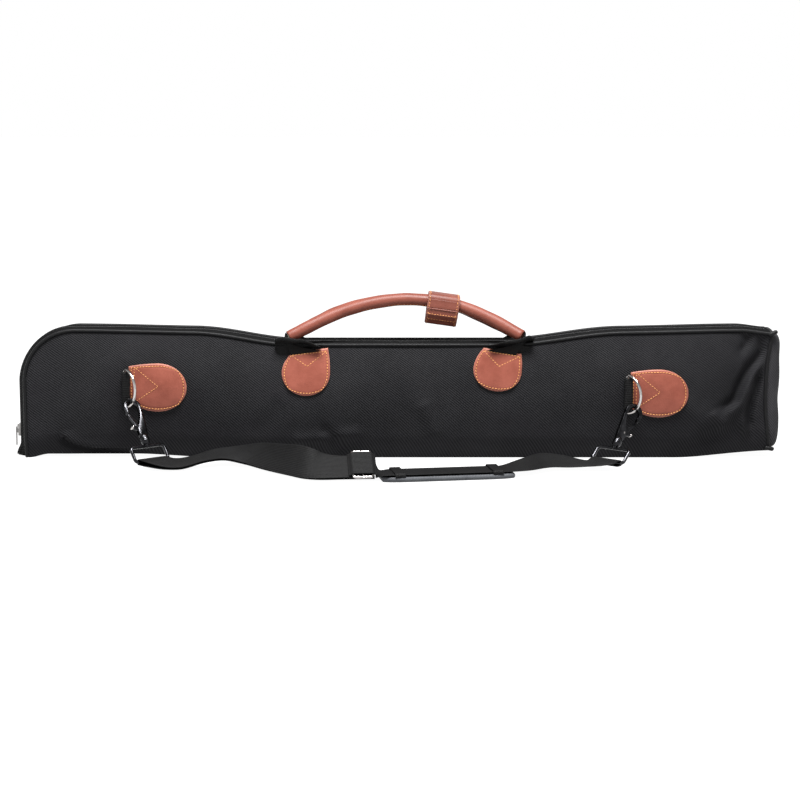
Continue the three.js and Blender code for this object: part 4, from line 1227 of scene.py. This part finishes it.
def add_glide():
    """The sliding buckle: a flat wire frame with a bar across its middle, and webbing over the bar."""
    half_x, half_y, corner, wire = 10.6, 21.6, 3.0, 1.5
    centre = glide_station(24)[0] + GLIDE_SIDE * STRAP_WIDTH / 2 + GLIDE_OUT * 3.9

    def place(x, y, out):
        parts = ((x, GLIDE_ALONG), (y, GLIDE_SIDE), (out, GLIDE_OUT))
        return centre + sum(np.multiply.outer(value, axis) for value, axis in parts)

    dense = rounded_box(half_x, -half_y, half_y, corner, 100)
    loop = place(dense[:, 0], dense[:, 1], np.zeros(100))
    settle(tube("glide_frame", loop, wire, CHROME, 12, closed=True), "glide", "chrome", "tri_glide")
    y = np.linspace(-half_y, half_y, 21)
    settle(tube("glide_bar", place(np.zeros(21), y, np.zeros(21)), wire, CHROME, 12), "glide", "chrome")
    x = np.linspace(-15.5, 15.5, 37)
    hump = 3.2 * (1 - smooth(np.abs(x), 10, 15.5)) - 0.85
    near, far = (place(x, np.full(37, sign * (STRAP_WIDTH / 2 - 0.8)), hump) for sign in (-1, 1))
    settle(ribbon("glide_webbing", near, far, WEBBING, STRAPPING), "glide", "webbing")


def add_pad():
    u = (1 - np.cos(np.linspace(0, math.pi, 61))) / 2
    v = (1 - np.cos(np.linspace(0, math.pi, 19))) / 2
    u, v = np.meshgrid(u, v, indexing="ij")
    taper = 1 - 0.28 * np.abs(2 * u - 1) ** 8
    across = PAD_WIDTH * (0.5 + (v - 0.5) * taper)
    from_edge = np.minimum(np.minimum(u, 1 - u) * PAD_LENGTH, np.minimum(v, 1 - v) * PAD_WIDTH)
    round_off = np.sqrt(1 - np.clip(1 - from_edge / 2.2, 0, 1) ** 2)
    top = PAD_THICK * (0.55 + 0.45 * round_off) - 0.5 * np.exp(-(((from_edge - 4) / 0.9) ** 2))
    bottom = PAD_THICK * 0.45 * (1 - round_off) + 0.1
    uv = np.stack([PAD_LENGTH * u, PAD_WIDTH * v], -1)
    faces = (pad_point(PAD_LENGTH * u, across, z) for z in (top, bottom))
    pad = shell("strap_pad", *faces, RUBBER, uv=uv, marks={"edge": 1 - smooth(from_edge, 1.0, 2.6)})
    settle(pad, "pad", "rubber", "shoulder_pad")
    half, high, soft = PAD_WIDTH / 2 - 1, PAD_THICK + 3.9, 2.6
    rise = arc(-half + soft, high - soft, soft, math.pi, math.pi / 2, 6)
    fall = rise[::-1] * vec(-1, 1)
    feet = [np.array([(sign * half, PAD_THICK + 0.3), (sign * half, PAD_THICK + 1.0)]) for sign in (-1, 1)]
    line = even(np.vstack([feet[0], rise, fall, feet[1][::-1]]), 60)
    for name, at in (("left", 20), ("right", PAD_LENGTH - 20)):
        near, far = (pad_point(at + end, PAD_WIDTH / 2 + line[:, 0], line[:, 1]) for end in (-6, 6))
        loop = ribbon(f"pad_loop_{name}", near, far, 1.1, STRAPPING)
        settle(loop, "pad", "webbing", f"pad_keeper_{name}")


# Handles

# The front handle's middle line, as (x, how far in front of the case's middle, z)
HANDLE_LINE = [
    (-124, 29.5, 143),
    (-104, 25, 153),
    (-70, 16, 168),
    (-34, 11, 179),
    (5, 8.4, 184.5),
    (34, 8.2, 183.5),
    (54, 8.2, 180.6),
    (75, 8.6, 176.5),
    (110, 17, 163),
    (146, 29.5, 144),
]


BACK_SHORTER = 11  # how much further in the back handle ends, on each side


def handle_points(side):
    x, y, z = np.array(HANDLE_LINE, float).T
    ends = smooth(x, -124, -70) * (1 - smooth(x, 110, 146))
    if side < 0:
        return np.stack([x, -y, z], 1)
    shorter = BACK_SHORTER * (1 - smooth(x, -124, -70)) - BACK_SHORTER * smooth(x, 110, 146)
    return np.stack([x + shorter, y, z - ends * (1.5 + 4 * smooth(x, 60, 110))], 1)


def pipe(name, centres, outer_r, inner_r, material):
    """A hollow tube with a rim at each end."""
    sides = 24
    outer, inner = (rings(centres, r, sides) for r in (outer_r, inner_r))
    rows = len(centres)
    count = rows * sides
    index = round_index(rows, sides)
    quads = quads_over(index)
    faces = quads.tolist() + (quads[:, ::-1] + count).tolist()
    for ring, flip in ((index[0], False), (index[-1], True)):
        for a, b in zip(ring[:-1], ring[1:]):
            face = [int(b), int(a), int(a) + count, int(b) + count]
            faces.append(face[::-1] if flip else face)
    return make(name, np.vstack([outer.reshape(-1, 3), inner.reshape(-1, 3)]), faces, material)


def add_handles():
    for name, side in FACES:
        line = catmull(handle_points(side), 16)
        run = np.linspace(0, 1, len(line))
        radius = HANDLE_R + 0.12 * np.sin(run * 70) + 0.1 * np.sin(run * 23 + side)
        skin = pipe(f"{name}_handle_tube", line, radius, np.full(len(line), CORE_R + 0.4), SHADED_HANDLE_LEATHER)
        settle(skin, "handles", "leather", f"handle_{name}")
        core = tube(f"{name}_handle_cord", line[2:-2], CORE_R, CORD, 14)
        settle(core, "handles", "core", f"handle_core_{name}")
        out = unit(vec(0, side * 0.75, -1))
        row = line + out * (HANDLE_R - 0.1), out
        sewing = stitches(f"{name}_handle_stitching", [row], 3.6, 2.6, 0.4)
        settle(sewing, "handles", "leather")


WRAP_CENTRE, WRAP_TURN, WRAP_LENGTH = vec(54, 0, 171.2), math.radians(-8), 37.0
WRAP_SEAM = WRAP_LENGTH / 2 - 2.4  # its rows of stitches are this far from its middle
FINE_STITCH = {"pitch": 3.2, "length": 2.3, "radius": 0.4}
WRAP_HALF, WRAP_SHOULDER = 2 * HANDLE_R + 3.8, 4.0
WRAP_UP = vec(-math.sin(WRAP_TURN), 0, math.cos(WRAP_TURN))
WRAP_AXIS = np.cross(vec(0, 1, 0), WRAP_UP)


def wrap_place(y, up, along):
    parts = ((y, vec(0, 1, 0)), (up, WRAP_UP), (along, WRAP_AXIS))
    return WRAP_CENTRE + sum(np.multiply.outer(np.asarray(value, float), axis) for value, axis in parts)


def wrap_edges(line):
    """The line, given as (y, up), at both ends of the wrap."""
    ends = (np.full(len(line), sign * WRAP_LENGTH / 2) for sign in (-1, 1))
    return [wrap_place(line[:, 0], line[:, 1], end) for end in ends]


def wrap_outline(inset):
    half, top, bottom, foot = WRAP_HALF - inset, 19.4 - inset, -17.5 + inset, 7 - inset * 0.6
    points = [(-half, WRAP_SHOULDER)]
    points += arc(-half + 6, top - 6, 6, math.pi, math.pi / 2, 6).tolist()
    points += arc(half - 6, top - 6, 6, math.pi / 2, 0, 6).tolist()
    points += [(half, WRAP_SHOULDER), (half - 4.2, -2.6), (foot, bottom + 4), (foot - 2, bottom)]
    points += [(2 - foot, bottom), (-foot, bottom + 4), (4.2 - half, -2.6)]
    return softened(np.array(points), 2)


def add_wrap():
    outline = wrap_outline(1.0)
    near, far = wrap_edges(looped(outline, 96))
    sleeve = ribbon("wrap_sleeve", near, far, LEATHER, SHADED_WRAP_LEATHER, wrap=True)
    settle(sleeve, "handles", "leather", "handle_wrap")
    rows = []
    surface_line = wrap_outline(-0.15)
    ring = even(np.vstack([surface_line, surface_line[:1]]), 97)
    for end in (-WRAP_SEAM, WRAP_SEAM):
        points = wrap_place(ring[:, 0], ring[:, 1], np.full(97, end))
        outs = wrap_place(ring[:, 0], ring[:, 1], np.zeros(97)) - WRAP_CENTRE
        rows.append((points, unit(outs)))
    settle(stitches("wrap_stitching", rows, **FINE_STITCH), "handles", "leather")
    add_flap()


def flap_line(count, start, end, offset):
    """Points down the wrap's sloping front face, that far off it, as (y, up)."""
    corner = vec(-WRAP_HALF, WRAP_SHOULDER)
    slope = unit(vec(-7, -13.5) - corner)
    outwards = vec(slope[1], -slope[0])
    t = np.linspace(start, end, count)
    return corner + t[:, None] * slope + np.broadcast_to(offset, count)[:, None] * outwards


def add_overlap(name, body, top, foot, hemmed):
    """The wrap's outer layer: it comes off its front face, and its loose part hangs below the shoulder."""
    up = np.linspace(top, foot, 14)
    y = -WRAP_HALF - 1.1 + 1.5 * smooth(up, 3, 13.4)
    near, far = wrap_edges(np.column_stack([y, up]))
    settle(ribbon(f"{name}_leather", near, far, 1.4, SHADED_WRAP_LEATHER), body, "leather")
    front = vec(0, -1, 0)
    rows = [(wrap_place(y - 0.75, up, np.full(14, end)), front) for end in (-WRAP_SEAM, WRAP_SEAM)]
    if hemmed:
        hem = np.linspace(-WRAP_SEAM, WRAP_SEAM, 20)
        rows.append((wrap_place(np.full(20, y[-1] - 0.75), np.full(20, foot + 1.6), hem), front))
    settle(stitches(f"{name}_stitching", rows, **FINE_STITCH), body, "leather")


def add_flap():
    for name, body, offset in (("wrap_loop", "handles", 0.6), ("wrap_hook", "flap", 1.5)):
        line = flap_line(12, 5, 14, offset)
        near, far = (wrap_place(line[:, 0], line[:, 1], np.full(12, end)) for end in (-12, 12))
        tape = ribbon(f"{name}_tape", near, far, 0.6, HOOK_AND_LOOP)
        settle(tape, body, "velcro", f"{name}_patch")
    offset = 2.9 - 0.5 * np.linspace(1, 0, 20) ** 3
    near, far = wrap_edges(flap_line(20, 0, 17, offset))
    settle(ribbon("wrap_flap_leather", near, far, 1.6, SHADED_WRAP_LEATHER), "flap", "leather", "wrap_flap")
    add_overlap("wrap_overlap", "handles", 13.2, WRAP_SHOULDER - 0.95, False)
    add_overlap("wrap_flap_overlap", "flap", WRAP_SHOULDER - 1.0, -5.6, True)
    add_flap_stitches()


def add_flap_stitches():
    top = flap_line(20, 8.5, 15, 3.75)
    outwards = unit(wrap_place(*flap_line(1, 5, 5, 1)[0], 0) - wrap_place(*flap_line(1, 5, 5, 0)[0], 0))
    ends = (wrap_place(top[:, 0], top[:, 1], np.full(20, end)) for end in (-WRAP_SEAM, WRAP_SEAM))
    rows = [(line, outwards) for line in ends]
    foot = flap_line(1, 15, 15, 3.75)[0]
    along = np.linspace(-WRAP_SEAM, WRAP_SEAM, 20)
    rows.append((wrap_place(np.full(20, foot[0]), np.full(20, foot[1]), along), outwards))
    settle(stitches("flap_stitching", rows, **FINE_STITCH), "flap", "leather")


def web_grid(tab, outer, line, side, u, v):
    """Webbing from a handle's end, down in front of the piping, to the panel above the handle's patch."""
    end, after = (line[0], line[1]) if outer < 0 else (line[-1], line[-2])
    away = unit(end - after)
    across = unit(vec(-away[2], 0, away[0])) * outer
    wide = mix(-17, 18, v)
    px = -tab["size"][0] / 2 + 3 + tab["skew"] * outer * wide / 21.5
    py = outer * wide
    x, z = in_front(tab, px, py)
    y = side * (np.maximum(surface(x, z, side) + 0.2, GUSSET_HALF + PIPING_R * smooth(z, 128, 140)) + 0.3)
    low = np.stack([x, y, z], -1)
    high = end + away * 0.6 + np.multiply.outer(2 * v - 1, across * 6.4)
    knee = high + away * 5 + vec(0, side * 8, 0)
    u = u[..., None]
    return (1 - u) ** 2 * low + 2 * u * (1 - u) * knee + u * u * high


# The fold of webbing in front of each handle's end: its low and its high edge, as (x, z)
WEB_FOLDS = {
    "left": (
        [(-87, 131.5), (-105, 128.5), (-122, 124), (-134, 122.5), (-140, 127)],
        [(-87, 133), (-107.5, 141), (-117, 142), (-132, 144), (-140, 142)],
    ),
    "right": (
        [(108, 133), (125, 129), (142, 125), (152, 127), (159, 133)],
        [(108, 134.5), (126.9, 139), (139.9, 141.5), (148, 143.5), (154, 146), (160, 143)],
    ),
}


def add_web_fold(where):
    """It comes up off the front panel, over the piping, and covers the end of the handle."""
    low, high = (even(catmull([(x, 0, z) for x, z in line], 10), 40) for line in WEB_FOLDS[where])
    share = np.linspace(0, 1, 18)[None, :, None]
    grid = mix(low[:, None], high[:, None], share)
    x, z, share = grid[..., 0], grid[..., 2], share[..., 0]
    panel = surface(x, z) * (1 - smooth(z, 132, 138)) + 0.6
    ripple = 0.7 * np.sin(x / 4.5 + z / 9) * np.sin(math.pi * share)
    grid[..., 1] = -np.maximum(mix(panel, 39.0, smooth(share, 0, 0.85)), panel) - ripple
    uv = np.stack([12 * share + 0 * x, x], -1)
    web = shell(f"handle_web_fold_{where}", grid, grid + vec(0, WEBBING, 0), STRAPPING, uv=uv)
    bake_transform(web)
    label(web, "webbing")


def blend_across(web):
    """Bakes the piece's placement into its points."""
    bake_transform(web)


def add_web(where, face, side):
    """A handle's webbing; on the back it is in two parts, as it crosses from one half to the other."""
    tab, outer, line = HANDLE_TABS[where], -1 if where == "left" else 1, handle_points(side)
    node = f"handle_web_{face}_{where}"
    parts = [("", 0.0, 1.0, ("case", "handles"))]
    if side > 0:
        parts = [("_lower", 0.0, 0.46, ("back", "case")), ("_upper", 0.44, 1.0, ("case", "handles"))]
    for part, low, high, bodies in parts:
        u, v = np.meshgrid(np.linspace(low, high, 25), np.linspace(0, 1, 19), indexing="ij")
        inner = web_grid(tab, outer, line, side, u, v)
        uv = np.stack([40 * u, mix(48, 14, u) * v], -1)
        web = shell(f"{node}{part}_webbing", inner + vec(0, side * 1.5, 0), inner, STRAPPING, uv=uv)
        blend_across(web)
        label(web, "webbing", node)


def add_webs():
    for where in HANDLE_TABS:
        for face, side in FACES:
            add_web(where, face, side)
        add_web_fold(where)


def dress_metal():
    """CAD pieces whose shape is right keep it, with eased edges and a better finish."""
    finishes = {"zip_slider": NICKEL, "zip_pull": NICKEL, "hook_pin_left": CHROME, "hook_pin_right": CHROME}
    for name, material in finishes.items():
        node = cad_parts[name]
        node.data.materials.clear()
        node.data.materials.append(material)
        bevel = node.modifiers.new("eased_edges", "BEVEL")
        bevel.width = 0.35 * MM
        bevel.segments = 2
        bevel.limit_method = "ANGLE"


# Stage


def add_camera():
    data = bpy.data.cameras.new("camera")
    camera = bpy.data.objects.new("camera", data)
    bpy.context.scene.collection.objects.link(camera)
    target = Vector((0.0047, -0.028, 0.069))
    camera.location = (0.0047, -2.525, 0.45)
    camera.rotation_euler = (target - camera.location).to_track_quat("-Z", "Y").to_euler()
    data.lens = 97.6
    data.sensor_width = 36.0
    data.clip_end = 60.0
    bpy.context.scene.camera = camera


def area_light(name, place, aim, size, power):
    data = bpy.data.lights.new(name, "AREA")
    data.shape = "RECTANGLE"
    data.size, data.size_y = size
    data.energy = power
    light = bpy.data.objects.new(name, data)
    bpy.context.scene.collection.objects.link(light)
    light.location = place
    light.rotation_euler = (Vector(aim) - Vector(place)).to_track_quat("-Z", "Y").to_euler()


def add_stage():
    """A bright white sweep: its own glow hides nearly all of the case's shadow."""
    m = Shader("studio_floor", **gloss(0.0, 0.9))
    m.put(m.surface, {"Emission Color": rgb(1, 1, 1), "Emission Strength": 0.97})
    shade = m.spread(m.noise(2.0, 2.0), 0.3, 0.7)
    material = m.done(m.blend(shade, rgb(0.1, 0.1, 0.1), rgb(0.12, 0.12, 0.12)))
    size = 12000.0
    corner = [(-size, -size, 0), (size, -size, 0), (size, size, 0), (-size, size, 0)]
    make("studio_floor", np.array(corner), [[0, 1, 2, 3]], material)
    add_world(horizon=1.0, zenith=0.38)
    area_light("key", (0, -0.75, 2.3), (0, 0, 0.08), (1.6, 0.6), 225)
    bpy.context.scene.view_settings.view_transform = "Standard"


def add_world(horizon, zenith):
    world = bpy.data.worlds.new("studio")
    world.use_nodes = True
    tree = world.node_tree
    place = tree.nodes.new("ShaderNodeTexCoord")
    split = tree.nodes.new("ShaderNodeSeparateXYZ")
    fade = tree.nodes.new("ShaderNodeMapRange")
    tree.links.new(place.outputs["Generated"], split.inputs[0])
    tree.links.new(split.outputs["Z"], fade.inputs["Value"])
    for socket, value in (("From Min", 0.12), ("From Max", 0.75), ("To Min", horizon), ("To Max", zenith)):
        fade.inputs[socket].default_value = value
    background = tree.nodes["Background"]
    background.inputs["Color"].default_value = rgb(1, 1, 1)
    tree.links.new(fade.outputs["Result"], background.inputs["Strength"])
    bpy.context.scene.world = world


add_camera()
add_panels()
add_gusset()
add_base()
add_end_cap()
add_piping_ends()
add_tabs()
LEFT, RIGHT = (add_ring_side(where, ring) for where, ring in RINGS.items())
add_strap(LEFT, RIGHT)
add_glide()
add_pad()
add_handles()
add_wrap()
add_webs()
dress_metal()
add_stage()
